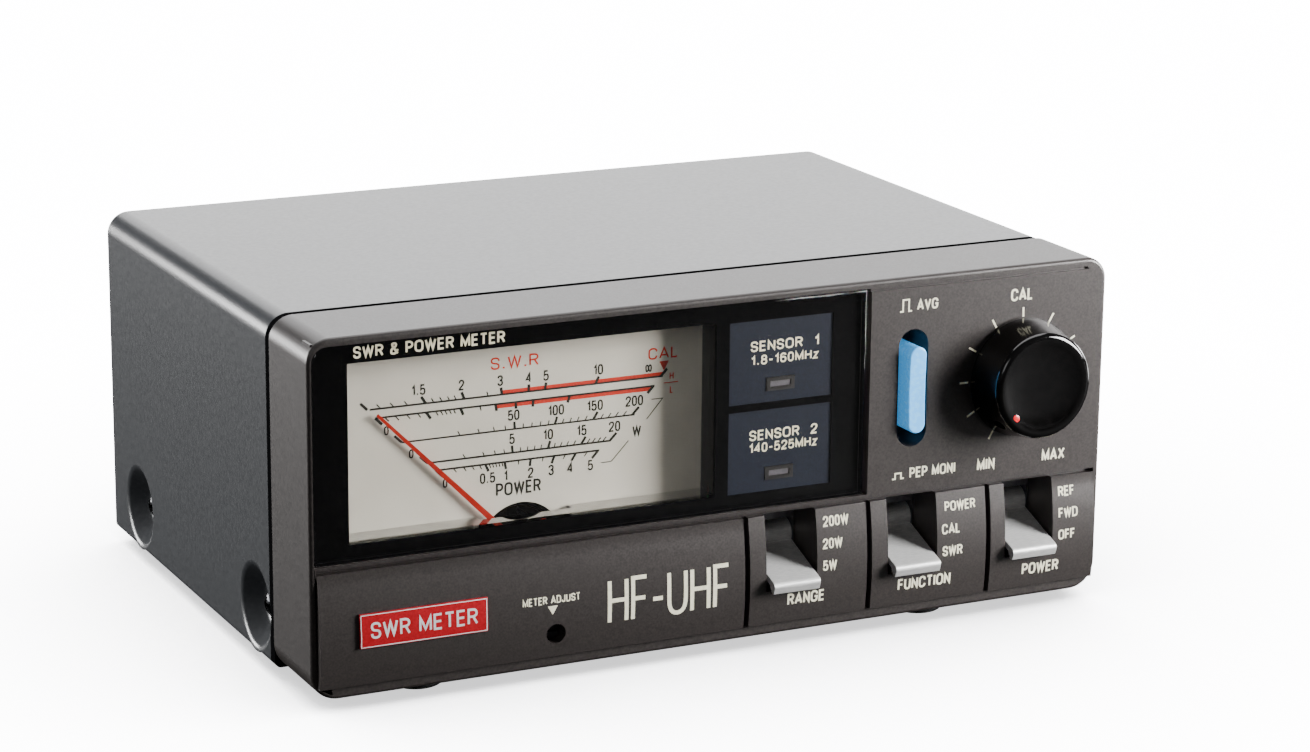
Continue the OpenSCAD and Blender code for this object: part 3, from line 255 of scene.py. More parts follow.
def rim_gap(x, z):
    """How far in mm a point is inside the outline of the panel."""
    r = top_round if z > case_top / 2 else low_round
    px, pz = abs(x) - (case_half - r), abs(z - case_top / 2) - (case_top / 2 - r)
    return r - math.hypot(max(px, 0), max(pz, 0)) - min(max(px, pz), 0)


bezel_mesh = cad_copy("front_panel")
rim = []
for e in bezel_mesh.edges:
    ends = [mm(v.co) for v in e.verts]
    if abs(corner(e)) > 40 and all(abs(p[1]) < 0.02 and rim_gap(p[0], p[2]) < 0.06 for p in ends):
        rim.append(e)
ease(bezel_mesh, rim, 0.7, 4)
fronts = []
for e in bezel_mesh.edges:
    ends = [mm(v.co) for v in e.verts]
    if corner(e) > 35 and all(p[1] < 0.4 for p in ends) and all(rim_gap(p[0], p[2]) > 0.8 for p in ends):
        fronts.append(e)
ease(bezel_mesh, fronts, 0.3, 2)
smooth(bezel_mesh, 35)
bezel = made("bezel", bezel_mesh, panel_paint)
flat_shading(bezel)
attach(bezel, "case")
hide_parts("front_panel")

# ---------------------------------------------------------------- cover
# A channel of 1 mm steel sheet over the top and sides, with two pressed dishes in each side
# for its screws. Stoved semi-gloss charcoal paint with a slight orange peel.
cover_paint = finish("charcoal_stove_enamel", "#2b2d30", "#303235", 0.9, (0.3, 0.36), 0.003,
                     coat=(0.3, 0.2))
screw_low, screw_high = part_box("cover_screws")
head_r = 3.0
dish_at = [mm(screw_low)[1] + head_r, mm(screw_high)[1] - head_r]
dish_level = (mm(screw_low)[2] + mm(screw_high)[2]) / 2
cover_side = mm(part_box("top_cover")[1])[0]
dish_r, dish_floor_r, dish_depth = 7.5, 4.2, 3.75


def on_ring(edge, radius, side):
    """True for an edge on a circle around a dish's axis, at a distance from the middle."""
    for v in edge.verts:
        x, y, z = mm(v.co)
        gap = min(abs(math.hypot(y - c, z - dish_level) - radius) for c in dish_at)
        if gap > 0.12 or abs(abs(x) - side) > 0.05:
            return False
    return True


# Painted shade: the cover is dark for about 2 mm behind its front edge, fading over 0.15 mm, to stand for
# the shadow in the seam behind the front panel.
seam_shade_wide, seam_shade_fade = 2.2, 0.15
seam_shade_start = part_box("top_cover")[0].y
shade = cover_paint.node_tree
where = add(shade, "ShaderNodeSeparateXYZ", None, {
    "Vector": next(n for n in shade.nodes if n.type == "TEX_COORD").outputs["Object"]})
seam_shade_band = add(shade, "ShaderNodeMapRange", {"label": "cut edge"}, {
    "Value": where.outputs["Y"], "From Min": seam_shade_start + (seam_shade_wide - seam_shade_fade) * MM,
    "From Max": seam_shade_start + seam_shade_wide * MM, "To Min": 1.0, "To Max": 0.0})
# The flat dark colour of the painted seam shadow.
painted_seam_shade = add(shade, "ShaderNodeBsdfDiffuse", None, {"Color": linear("#0c0c0d")})
seam_shaded_paint = add(shade, "ShaderNodeMixShader", None, {
    "Fac": seam_shade_band.outputs["Result"], 1: principled(cover_paint).outputs[0], 2: painted_seam_shade.outputs["BSDF"]})
shade.links.new(seam_shaded_paint.outputs[0], output(cover_paint))
cover_mesh = cad_copy("top_cover")
ease(cover_mesh, [e for e in cover_mesh.edges
                  if corner(e) > 20 and on_ring(e, dish_r, cover_side)], 1.3, 5)
ease(cover_mesh, [e for e in cover_mesh.edges
                  if corner(e) < -20 and on_ring(e, dish_floor_r, cover_side - dish_depth)], 0.7, 3)
smooth(cover_mesh, 35)
cover = made("cover", cover_mesh, cover_paint)
flat_shading(cover)
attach(cover, "case")
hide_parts("top_cover")

# ---------------------------------------------------------------- repeated pieces
# Cover screws, flange screws and feet are turned alike and set in their places by one tree.
def lathe(name, profile, steps=48):
    """A solid turned about Z from (radius, height) pairs in mm, which start and end on the axis."""
    bm = bmesh.new()
    rings = []
    for r, h in profile:
        if r < 1e-6:
            rings.append([bm.verts.new((0, 0, h * MM))])
        else:
            rings.append([bm.verts.new((r * MM * math.cos(a), r * MM * math.sin(a), h * MM))
                          for a in (i * math.tau / steps for i in range(steps))])
    for lower, upper in zip(rings, rings[1:]):
        for i in range(steps):
            j = (i + 1) % steps
            loop = []
            for ring, spot in ((lower, i), (lower, j), (upper, j), (upper, i)):
                v = ring[spot % len(ring)]
                if v not in loop:
                    loop.append(v)
            if len(loop) > 2:
                bm.faces.new(loop)
    bmesh.ops.recalc_face_normals(bm, faces=bm.faces)
    return bm


def arc(cx, cy, r, start, end, steps):
    """Points of an arc in the section plane, angles in degrees."""
    return [(cx + r * math.cos(math.radians(start + (end - start) * i / steps)),
             cy + r * math.sin(math.radians(start + (end - start) * i / steps)))
            for i in range(steps + 1)]


def inputs_of(tree, sockets):
    """Names a node tree's inputs and its one output."""
    for name, kind in sockets:
        tree.interface.new_socket(name, in_out="INPUT", socket_type=kind)
    tree.interface.new_socket("Geometry", in_out="OUTPUT", socket_type="NodeSocketGeometry")
    return add(tree, "NodeGroupInput").outputs


def grow(name, base, tree, settings):
    """The result of a node tree on a base mesh, as an object with a plain mesh."""
    host = bpy.data.objects.new(name + "_base", base)
    bpy.context.scene.collection.objects.link(host)
    growth = host.modifiers.new("growth", "NODES")
    growth.node_group = tree
    for item in tree.interface.items_tree:
        if item.in_out == "INPUT" and item.name in settings:
            growth[item.identifier] = settings[item.name]
    graph = bpy.context.evaluated_depsgraph_get()
    mesh = bpy.data.meshes.new_from_object(host.evaluated_get(graph), depsgraph=graph)
    host.modifiers.remove(growth)
    bpy.data.objects.remove(host)
    mesh.name = name
    thing = bpy.data.objects.new(name, mesh)
    bpy.context.scene.collection.objects.link(thing)
    return thing


# Sets a copy of a part at each point: "turn" holds its rotation and "stretch" its size.
setting_tree = bpy.data.node_groups.new("set_in_places", "GeometryNodeTree")
given = inputs_of(setting_tree, (("Geometry", "NodeSocketGeometry"), ("Part", "NodeSocketObject"),
                                 ("Part size", "NodeSocketFloat"), ("Finish", "NodeSocketMaterial")))
spots = add(setting_tree, "GeometryNodeMeshToPoints", None, {"Mesh": given["Geometry"]})
part = add(setting_tree, "GeometryNodeObjectInfo", None, {"Object": given["Part"]})
turned = add(setting_tree, "GeometryNodeInputNamedAttribute", {"data_type": "FLOAT_VECTOR"},
             {"Name": "turn"})
wide = add(setting_tree, "GeometryNodeInputNamedAttribute", {"data_type": "FLOAT_VECTOR"},
           {"Name": "stretch"})
sized = add(setting_tree, "ShaderNodeVectorMath", {"operation": "SCALE"},
            {"Vector": wide.outputs["Attribute"], "Scale": given["Part size"]})
placed = add(setting_tree, "GeometryNodeInstanceOnPoints", None, {
    "Points": spots.outputs["Points"], "Instance": part.outputs["Geometry"],
    "Rotation": turned.outputs["Attribute"], "Scale": sized.outputs["Vector"]})
real = add(setting_tree, "GeometryNodeRealizeInstances", None, {"Geometry": placed.outputs["Instances"]})
dressed = add(setting_tree, "GeometryNodeSetMaterial", None,
              {"Geometry": real.outputs["Geometry"], "Material": given["Finish"]})
add(setting_tree, "NodeGroupOutput", None, {"Geometry": dressed.outputs["Geometry"]})


def set_in_places(name, part_mesh, places, material, smooth_angle=35):
    """Copies of one small part at (point, rotation, stretch) places, as one piece."""
    if smooth_angle:
        smooth(part_mesh, smooth_angle)
    pattern = made(name + "_pattern", part_mesh, material)
    base = bpy.data.meshes.new(name + "_places")
    base.from_pydata([p for p, _, _ in places], [], [])
    for key, values in (("turn", [r for _, r, _ in places]), ("stretch", [s for _, _, s in places])):
        layer = base.attributes.new(key, "FLOAT_VECTOR", "POINT")
        for spot, value in zip(layer.data, values):
            spot.vector = value
    thing = grow(name, base, setting_tree, {"Part": pattern, "Part size": 1.0, "Finish": material})
    bpy.data.objects.remove(pattern)
    return thing


def cut_away(bm, cutter):
    """A mesh less another one."""
    blank, tool = made("blank", bm, None), made("tool", cutter, None)
    cut = blank.modifiers.new("cut", "BOOLEAN")
    cut.object, cut.operation, cut.solver, cut.use_self = tool, "DIFFERENCE", "EXACT", True
    graph = bpy.context.evaluated_depsgraph_get()
    result = bmesh.new()
    result.from_mesh(bpy.data.meshes.new_from_object(blank.evaluated_get(graph), depsgraph=graph))
    bpy.data.objects.remove(blank)
    bpy.data.objects.remove(tool)
    return result


def slots(bm, turns, reach, width, deep, top):
    """Sinks slots of a reach and width in mm across the top of a turned part."""
    cutter = bmesh.new()
    for turn in turns:
        arm = bmesh.ops.create_cube(cutter, size=1)["verts"]
        bmesh.ops.scale(cutter, verts=arm, vec=(2 * reach * MM, width * MM, 2 * deep * MM))
        bmesh.ops.translate(cutter, verts=arm, vec=(0, 0, top * MM))
        bmesh.ops.rotate(cutter, verts=arm, cent=(0, 0, 0), matrix=Matrix.Rotation(turn, 3, "Z"))
    return cut_away(bm, cutter)


# ---------------------------------------------------------------- cover screws
# Four pan-head machine screws with cross recesses, black-zinc plated, at the floors of the
# dishes; their shanks stay hidden in the chassis.
black_zinc = finish("black_zinc_plate", "#17181a", "#222326", 0.6, (0.16, 0.26), metallic=0.9)
crown_h, shank_r = 1.9, 1.45
ball = (head_r ** 2 + crown_h ** 2) / (2 * crown_h)
edge_angle = math.degrees(math.asin(head_r / ball))
screw_mesh = lathe("cover_screw", [(0, -4.0), (shank_r, -4.0), (shank_r, 0), (head_r, 0)]
                   + arc(0, crown_h - ball, ball, 90 - edge_angle + 4, 88, 8) + [(0, crown_h)], 40)
screw_mesh = slots(screw_mesh, (0, math.pi / 2), 1.35, 0.62, 1.15, crown_h)
seat = cover_side - dish_depth
sites = [(at(side * seat, y, dish_level), (0, side * math.pi / 2, 0), (1, 1, 1))
         for side in (-1, 1) for y in dish_at]
screws = set_in_places("cover_screw_heads", screw_mesh, sites, black_zinc)
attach(screws, "case")
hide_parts("cover_screws")

# ---------------------------------------------------------------- rubber feet
# Four round moulded rubber feet, pushed into the underside; matt black with a dusty bloom.
foot_rubber = finish("moulded_rubber", "#141415", "#1e1e1f", 0.8, (0.7, 0.85), 0.01)
foot_low, foot_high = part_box("rubber_feet")
foot_r, foot_tall = 5.0, 2.3
foot_x = [mm(foot_low)[0] + foot_r, mm(foot_high)[0] - foot_r]
foot_y = [mm(foot_low)[1] + foot_r, mm(foot_high)[1] - foot_r]
foot_rise = mm(foot_high)[2] + foot_tall
foot_mesh = lathe("foot", [(0, 0), (3.2, 0), (3.4, 0.25)] + arc(foot_r - 1.1, 1.1, 1.1, -70, 0, 5)
                  + [(foot_r, foot_tall), (0, foot_tall)], 40)
foot_sites = [(at(x, foot_y[0], -foot_tall), (0, 0, 0), (1, 1, 1)) for x in foot_x]
foot_sites += [(at(x, foot_y[1], -foot_tall), (0, 0, 0), (1, 1, foot_rise / foot_tall)) for x in foot_x]
feet = set_in_places("rubber_feet_set", foot_mesh, foot_sites, foot_rubber)
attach(feet, "case")
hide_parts("rubber_feet")


# ---------------------------------------------------------------- window and its mask
# One clear acrylic pane over the meter and the sensor panels, its border printed black on the
# back. The pane is polished, with a few fine hairlines from wiping.
def clear_finish(name, tint, gloss, scratch, least=0.0):
    """Clear plastic: straight through, with the mirror share of its own index on the surface."""
    material = bpy.data.materials.new(name)
    material.use_nodes = True
    tree = material.node_tree
    tree.nodes.clear()
    place = add(tree, "ShaderNodeTexCoord")
    hairs = add(tree, "ShaderNodeTexNoise", {"label": "wiping marks"},
                {"Vector": place.outputs["Object"], "Scale": 1 / (scratch * MM), "Detail": 2.0})
    blur = add(tree, "ShaderNodeMapRange", None, {
        "Value": hairs.outputs["Fac"], "From Min": 0.4, "From Max": 0.8,
        "To Min": gloss, "To Max": gloss + 0.05})
    through = add(tree, "ShaderNodeBsdfTransparent", None, {"Color": linear(tint)})
    mirror = add(tree, "ShaderNodeBsdfGlossy", None, {"Roughness": blur.outputs["Result"]})
    share = add(tree, "ShaderNodeFresnel", None, {"IOR": 1.49})
    floor_share = add(tree, "ShaderNodeMath", {"operation": "MAXIMUM", "label": "least mirror share"},
                      {0: share.outputs["Fac"], 1: least})
    path = add(tree, "ShaderNodeLightPath")
    lit = add(tree, "ShaderNodeMath",
              {"operation": "SUBTRACT", "use_clamp": True, "label": "light comes through"},
              {0: floor_share.outputs["Value"], 1: path.outputs["Is Shadow Ray"]})
    mix = add(tree, "ShaderNodeMixShader", None, {
        "Fac": lit.outputs["Value"], 1: through.outputs["BSDF"], 2: mirror.outputs["BSDF"]})
    add(tree, "ShaderNodeOutputMaterial", None, {"Surface": mix.outputs["Shader"]})
    return material


pane_acrylic = clear_finish("polished_acrylic", "#fdfcfa", 0.01, 3)
# The pane's back leaves room for the ink of the lettering.
ink_room = 0.08
pane_mesh = cad_copy("window_lens")
for v in pane_mesh.verts:
    if mm(v.co)[1] > 1:
        v.co.y -= ink_room * MM
ease(pane_mesh, [e for e in pane_mesh.edges
                 if corner(e) > 60 and all(mm(v.co)[1] < 0.01 for v in e.verts)], 0.35, 3)
smooth(pane_mesh, 35)
pane = made("window_pane", pane_mesh, pane_acrylic)
flat_shading(pane)
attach(pane, "case")
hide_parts("window_lens")


def dress(node, material):
    """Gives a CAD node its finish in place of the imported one."""
    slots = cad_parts[node].data.materials
    slots.clear()
    slots.append(material)


# Screen ink: dense black with a slight tooth where it was squeezed through the mesh.
screen_black = finish("black_screen_ink", "#030304", "#060607", 0.5, (0.7, 0.8), specular_ior_level=0.0)
dress("window_mask", screen_black)
# Navy film with a faint weave of the printed dots.
navy_film = finish("navy_screened_film", "#0f1420", "#151b2a", 0.4, (0.4, 0.5), specular_ior_level=0.2)
dress("sensor1_film", navy_film)
dress("sensor2_film", navy_film)
# ABS bezels round the two band lamps, satin from the tool.
lamp_bezel = finish("satin_black_abs", "#0a0a0b", "#121214", 0.5, (0.35, 0.45), 0.004)
dress("led_frames", lamp_bezel)
# Grey styrene light guides, frosted on their ends.
guide_grey = finish("frosted_grey_styrene", "#3f3d44", "#4c4a52", 0.7, (0.35, 0.5), 0.004, ior=1.59)
dress("light_guides", guide_grey)


# ---------------------------------------------------------------- printing
# All lettering and scales are screened in thick ink: every stroke is a low ridge of its own.
# Each letter is drawn with strokes on a body one cap high; "*" rounds a corner, "o" closes.
LETTERS = {
    "A": (0.74, "0,0 .37,1 .74,0|.13,.3 .61,.3"), "C": (0.66, ".66,.7 .66,1* 0,1* 0,0* .66,0* .66,.3"),
    "B": (0.6, "o 0,0 .6,0* .6,.52* 0,.52|0,.5 0,1 .56,1* .56,.52* .1,.52"),
    "D": (0.64, "o 0,0 .64,0* .64,1* 0,1"), "E": (0.52, ".52,0 0,0 0,1 .52,1|0,.52 .48,.52"),
    "F": (0.5, "0,0 0,1 .5,1|0,.5 .45,.5"), "G": (0.68, ".68,.72 .68,1* 0,1* 0,0* .68,0* .68,.46 .4,.46"),
    "H": (0.62, "0,0 0,1|.62,0 .62,1|0,.52 .62,.52"), "I": (0.02, "0.01,0 0.01,1"),
    "J": (0.46, ".46,1 .46,0* 0,0* 0,.3"), "L": (0.48, "0,1 0,0 .48,0"),
    "M": (0.78, "0,0 0,1 .39,.12 .78,1 .78,0"), "N": (0.62, "0,0 0,1 .62,0 .62,1"),
    "O": (0.7, "o 0,0* .7,0* .7,1* 0,1*"), "P": (0.58, "0,0 0,1 .58,1* .58,.45* 0,.45"),
    "R": (0.6, "0,0 0,1 .6,1* .6,.5* 0,.5|.34,.5 .62,0"),
    "S": (0.58, ".58,.72 .58,1* 0,1* 0,.53* .58,.47* .58,0* 0,0* 0,.28"),
    "T": (0.6, "0,1 .6,1|.3,1 .3,0"), "U": (0.62, "0,1 0,0* .62,0* .62,1"), "V": (0.68, "0,1 .34,0 .68,1"),
    "W": (0.96, "0,1 .24,0 .48,1 .72,0 .96,1"), "X": (0.66, "0,0 .66,1|0,1 .66,0"),
    "Y": (0.64, "0,1 .32,.45 .64,1|.32,.45 .32,0"),
    "Z": (0.58, "0,1 .58,1 0,0 .58,0"), "z": (0.44, "0,.7 .44,.7 0,0 .44,0"),
    "0": (0.52, "o 0,0* .52,0* .52,1* 0,1*"), "1": (0.3, "0,.76 .16,.8 .28,1 .28,0"),
    "2": (0.54, "0,.7 0,1* .54,1* .54,.55* 0,.12* 0,0 .54,0"),
    "3": (0.54, "0,.78 0,1* .52,1* .52,.53* .2,.53|.2,.53 .54,.53* .54,0* 0,0* 0,.24"),
    "4": (0.58, ".44,0 .44,1 0,.28 .58,.28"),
    "5": (0.54, ".5,1 .07,1 .02,.5 .1,.62* .54,.62* .54,0* 0,0* 0,.22"),
    "6": (0.54, ".52,.8 .52,1* 0,1* 0,0* .54,0* .54,.58* 0,.58* 0,.4"),
    "8": (0.54, "o 0,0* .54,0* .54,.53* 0,.53*|o .03,.53* .51,.53* .51,1* .03,1*"),
    "-": (0.36, "0,.42 .36,.42"), ".": (0.16, "0,.05 .16,.05"),
    "&": (0.66, ".66,0 .1,.8* .1,1* .5,1* .5,.7* 0,.45* 0,0* .5,0* .66,.4"),
    "@": (0.98, "o .08,.12* .42,.12* .56,.88* .9,.88* .9,.12* .56,.12* .42,.88* .08,.88*"),  # endless sign
    " ": (0.22, "")}


def stroke_points(text, bend=0.36):
    """The centre line of one stroke: (closed, points)."""
    closed = text.startswith("o")
    raw = [(*map(float, word.rstrip("*").split(",")), word.endswith("*"))
           for word in text.lstrip("o ").split()]
    points = []
    for i, (x, y, soft) in enumerate(raw):
        if not soft or (not closed and i in (0, len(raw) - 1)):
            points.append((x, y))
            continue
        before, after = raw[i - 1], raw[(i + 1) % len(raw)]
        ends = []
        for px, py, near_soft in (before, after):
            span = math.hypot(px - x, py - y)
            k = min(bend, span * (0.5 if near_soft else 1.0)) / span
            ends.append((x + (px - x) * k, y + (py - y) * k))
        (ax, ay), (bx, by) = ends
        for j in range(7):
            t = j / 6
            points.append(((1 - t) ** 2 * ax + 2 * t * (1 - t) * x + t * t * bx,
                           (1 - t) ** 2 * ay + 2 * t * (1 - t) * y + t * t * by))
    return closed, [p for i, p in enumerate(points) if i == 0 or math.dist(p, points[i - 1]) > 1e-4]


def ridge(bm, line, closed, wide, surface, lift=0.03, sink=0.01):
    """A low ridge of ink along a line of (x, z) points in mm on a surface y = surface(x, z)."""
    if closed and math.dist(line[0], line[-1]) < 1e-4:
        line = line[:-1]
    whole = []
    for a, b in zip(line, line[1:] + line[:1] if closed else line[1:]):
        cuts = max(1, math.ceil(math.dist(a, b) / 1.2))
        whole += [(a[0] + (b[0] - a[0]) * i / cuts, a[1] + (b[1] - a[1]) * i / cuts) for i in range(cuts)]
    line = whole if closed else whole + [line[-1]]
    n = len(line)
    rows = []
    for i, (x, z) in enumerate(line):
        back = line[i - 1] if closed or i else None
        ahead = line[(i + 1) % n] if closed or i < n - 1 else None
        d1 = Vector((x - back[0], z - back[1])).normalized() if back else None
        d2 = Vector((ahead[0] - x, ahead[1] - z)).normalized() if ahead else None
        d1, d2 = d1 or d2, d2 or d1
        mid = (d1 + d2).normalized() if (d1 + d2).length > 1e-6 else d1
        across = Vector((-mid.y, mid.x)) * wide / 2 / max(0.45, mid.dot(d1))
        row = []
        for side, out in ((1, lift), (-1, lift), (-1, -sink), (1, -sink)):
            px, pz = x + side * across.x, z + side * across.y
            row.append(bm.verts.new(at(px, surface(px, pz) - out, pz)))
        rows.append(row)
    for i in range(n if closed else n - 1):
        a, b = rows[i], rows[(i + 1) % n]
        for k in range(4):
            bm.faces.new((a[k], a[(k + 1) % 4], b[(k + 1) % 4], b[k]))
    if not closed:
        bm.faces.new(rows[0][::-1])
        bm.faces.new(rows[-1])


def letter(bm, text, x, z, cap, surface, width=None, weight=0.2, slant=0.0, layer=0.0):
    """A line of lettering centred on x, z; cap is its height and width its length in mm."""
    unit = cap / (1 + weight)
    gap = weight + 0.14
    natural = sum(LETTERS[c][0] + gap for c in text) - gap + weight
    squeeze = width / (natural * unit) if width else 0.86
    pen = weight / 2
    for c in text:
        for k, part in enumerate(filter(None, LETTERS[c][1].split("|"))):
            closed, line = stroke_points(part)
            spots = [(x + (pen + px + slant * py - natural / 2) * unit * squeeze,
                      z + (py + weight / 2) * unit - cap / 2) for px, py in line]
            ridge(bm, spots, closed, weight * unit, surface, 0.03 + layer + 0.003 * k)
        pen += LETTERS[c][0] + gap


def blot(bm, outline, surface, lift=0.03, sink=0.01):
    """A filled patch of ink with a convex outline of (x, z) points in mm."""
    front = [bm.verts.new(at(x, surface(x, z) - lift, z)) for x, z in outline]
    rear = [bm.verts.new(at(x, surface(x, z) + sink, z)) for x, z in outline]
    bm.faces.new(front)
    bm.faces.new(rear[::-1])
    for i in range(len(front)):
        j = (i + 1) % len(front)
        bm.faces.new((front[i], rear[i], rear[j], front[j]))


def closed_up(bm):
    """Turns the faces of the ink outwards."""
    bmesh.ops.recalc_face_normals(bm, faces=bm.faces)
    return bm


# The lower blocks bulge forward as part of a cylinder along X.
bulge_r, bulge_out, bulge_mid = 58.0, 1.3, 10.0


def on_block(x, z):
    """The front of a lower block."""
    return bulge_r - bulge_out - math.sqrt(bulge_r ** 2 - (z - bulge_mid) ** 2)


def on_plate(x, z):
    """The front of the control plate."""
    return 0.0


# Ivory ink, slightly rough and a little uneven in cover.
ivory_ink = finish("ivory_screen_ink", "#d9d4b8", "#e9e5cc", 0.6, (0.5, 0.6))
legend = bmesh.new()
for text, x, z, cap in (("200W", 22.1, 19.9, 1.9), ("20W", 21.3, 15.9, 1.9), ("5W", 20.7, 11.9, 1.9),
                        ("POWER", 47.7, 19.6, 1.8), ("CAL", 45.7, 15.5, 1.9), ("SWR", 46.0, 11.4, 1.9),
                        ("REF", 70.3, 19.5, 1.9), ("FWD", 70.6, 15.5, 1.9), ("OFF", 70.3, 11.4, 1.9),
                        ("RANGE", 16.0, 6.5, 2.2), ("FUNCTION", 40.3, 6.2, 2.2), ("POWER", 64.9, 5.7, 2.2),
                        ("METER ADJUST", -33.8, 12.8, 1.4)):
    letter(legend, text, x, z, cap, on_block)
blot(legend, [(-34.55, 11.7), (-33.6, 10.1), (-32.65, 11.7)], on_block)
letter(legend, "HF-UHF", -11.2, 10.9, 8.2, on_block, width=23.6, weight=0.1)
for text, x, z, cap in (("CAL", 59.6, 57.6, 2.3), ("MIN", 53.2, 26.5, 2.2), ("MAX", 67.5, 26.7, 2.2),
                        ("AVG", 40.0, 57.75, 2.0), ("PEP MONI", 42.0, 26.7, 2.0)):
    letter(legend, text, x, z, cap, on_plate)
# The button's two states, drawn as a step that stands high or low.
step_out, step_in = 1.2, 0.6
for x, z, tall in ((35.6, 56.8, 2.1), (34.9, 25.9, 1.0)):
    left = [(x - step_out, z), (x - step_in, z), (x - step_in, z + tall)]
    right = [(x + step_in, z + tall), (x + step_in, z), (x + step_out, z)]
    ridge(legend, left + right, False, 0.28, on_plate)
legends = made("panel_legends", closed_up(legend), ivory_ink)
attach(legends, "case")

# The marks round the CAL knob: eleven short bars thirty degrees apart.
knob_low, knob_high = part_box("cal_knob")
knob_x, _, knob_z = mm((knob_low + knob_high) / 2)
mark_in, mark_out, mark_wide = 11.1, 12.85, 0.35


def bar(lift=0.03, sink=0.01):
    """A flat bar one mm long and wide, to be stretched; its ink stands proud of y = 0."""
    bm = bmesh.new()
    cube = bmesh.ops.create_cube(bm, size=1)["verts"]
    bmesh.ops.scale(bm, verts=cube, vec=(MM, (lift + sink) * MM, MM))
    bmesh.ops.translate(bm, verts=cube, vec=(0, (sink - lift) / 2 * MM, 0))
    return bm


marks = []
for turn in range(-150, 151, 30):
    a = math.radians(turn)
    r = (mark_in + mark_out) / 2
    marks.append((at(knob_x + r * math.sin(a), 0, knob_z + r * math.cos(a)), (0, a, 0),
                  (mark_wide, 1, mark_out - mark_in)))
knob_marks = set_in_places("knob_marks", bar(), marks, ivory_ink, None)
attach(knob_marks, "case")

# Window lettering, on the back of the pane and on the films.
window_text = bmesh.new()
letter(window_text, "SWR & POWER METER", -54.8, 59.6, 2.1, lambda x, z: 1.99, width=27.4)
for text, z, cap, width in (("SENSOR  1", 52.8, 1.9, 13.6), ("1.8-160MHz", 50.3, 1.75, 13.4),
                            ("SENSOR  2", 36.6, 1.9, 13.6), ("140-525MHz", 34.3, 1.75, 13.6)):
    letter(window_text, text, 12.6, z, cap, lambda x, z: 2.2, width=width)
window_legends = made("window_legends", closed_up(window_text), ivory_ink)
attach(window_legends, "case")

# ---------------------------------------------------------------- dial
# A sheet-aluminium scale plate in white enamel, with scales screened in black and red. The
# ticks point at the pointer's axis, and each scale is a straight line.
dial_white = finish("white_dial_enamel", "#e6e6e2", "#efefec", 6, (0.35, 0.45))
dress("dial_plate", dial_white)
dial_front = mm(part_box("dial_plate")[0])[1]
axis_x, axis_z = -35.3, 19.9


def on_dial(x, z):
    """The front of the dial."""
    return dial_front


def ticks(z, spots, reach, wide):
    """Radial ticks from a line at height z; a negative reach goes below it."""
    out = []
    for x in spots:
        lean = math.atan2(x - axis_x, z - axis_z)
        long = reach / math.cos(lean)
        mid = z + reach / 2
        out.append((at(x + math.tan(lean) * reach / 2, dial_front, mid), (0, lean, 0),
                    (wide, 1, abs(long))))
    return out


def rule(z, x0, x1, wide):
    """A level line of a scale."""
    return [(at((x0 + x1) / 2, dial_front, z), (0, 0, 0), (x1 - x0, 1, wide))]


swr_h, swr_l, p200, p20, p5 = 47.6, 46.0, 41.2, 37.0, 35.5
scale = rule(swr_h, -63.2, -8.2, 0.34) + rule(swr_l, -62.2, -9.8, 0.34)
scale += rule(p200, -57.4, -13.6, 0.3) + rule(p20, -52.9, -18.2, 0.34) + rule(p5, -51.2, -20.4, 0.34)
scale += ticks(swr_h, (-63.6, -53.0, -45.9, -38.9, -33.9, -30.8, -21.2, -8.6), 1.25, 0.5)
scale += ticks(swr_h, (-61.2, -58.8, -56.3, -51.5, -50.0, -48.6, -47.4, -41.5), 0.8, 0.22)
scale += ticks(swr_l, (-62.2, -52.9, -46.6, -40.1, -36.3, -33.0, -26.1, -10.0), -1.2, 0.5)
scale += ticks(swr_l, (-60.5, -58.6, -56.5, -54.5, -51.2, -50.3, -49.5, -48.7, -47.9, -43.0), -0.8, 0.22)
scale += ticks(p200, (-57.4, -36.5, -28.9, -21.6, -14.1), 1.3, 0.45)
scale += ticks(p200, (-46.7, -43.1, -40.3, -38.2, -34.9, -33.3, -31.7, -30.2, -27.5, -26.1, -24.7,
                      -23.2, -20.2, -18.8, -17.4, -15.9), 0.8, 0.2)
scale += ticks(p20, (-52.8, -36.9, -30.2, -23.9, -18.4), 1.3, 0.45)
scale += ticks(p20, (-45.7, -42.2, -40.1, -38.4, -35.4, -34.1, -32.8, -31.6, -29.1, -27.9, -26.7,
                     -25.4, -22.8, -21.8, -20.8, -19.8), 0.8, 0.2)
scale += ticks(p5, (-51.2, -42.0, -38.4, -33.5, -29.0, -24.9, -20.6), -1.3, 0.45)
scale += ticks(p5, (-48.0, -46.1, -44.5, -43.1, -41.3, -40.7, -40.1, -39.5, -38.9, -35.8, -31.1, -26.9,
                    -22.7), -0.75, 0.2)
scale_black = finish("black_scale_ink", "#0b0b0c", "#131314", 0.5, (0.45, 0.55))
scale_red = finish("red_scale_ink", "#d22a1c", "#e03a28", 0.5, (0.45, 0.55))
dial_ticks = set_in_places("dial_ticks", bar(), scale, scale_black, None)
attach(dial_ticks, "case")

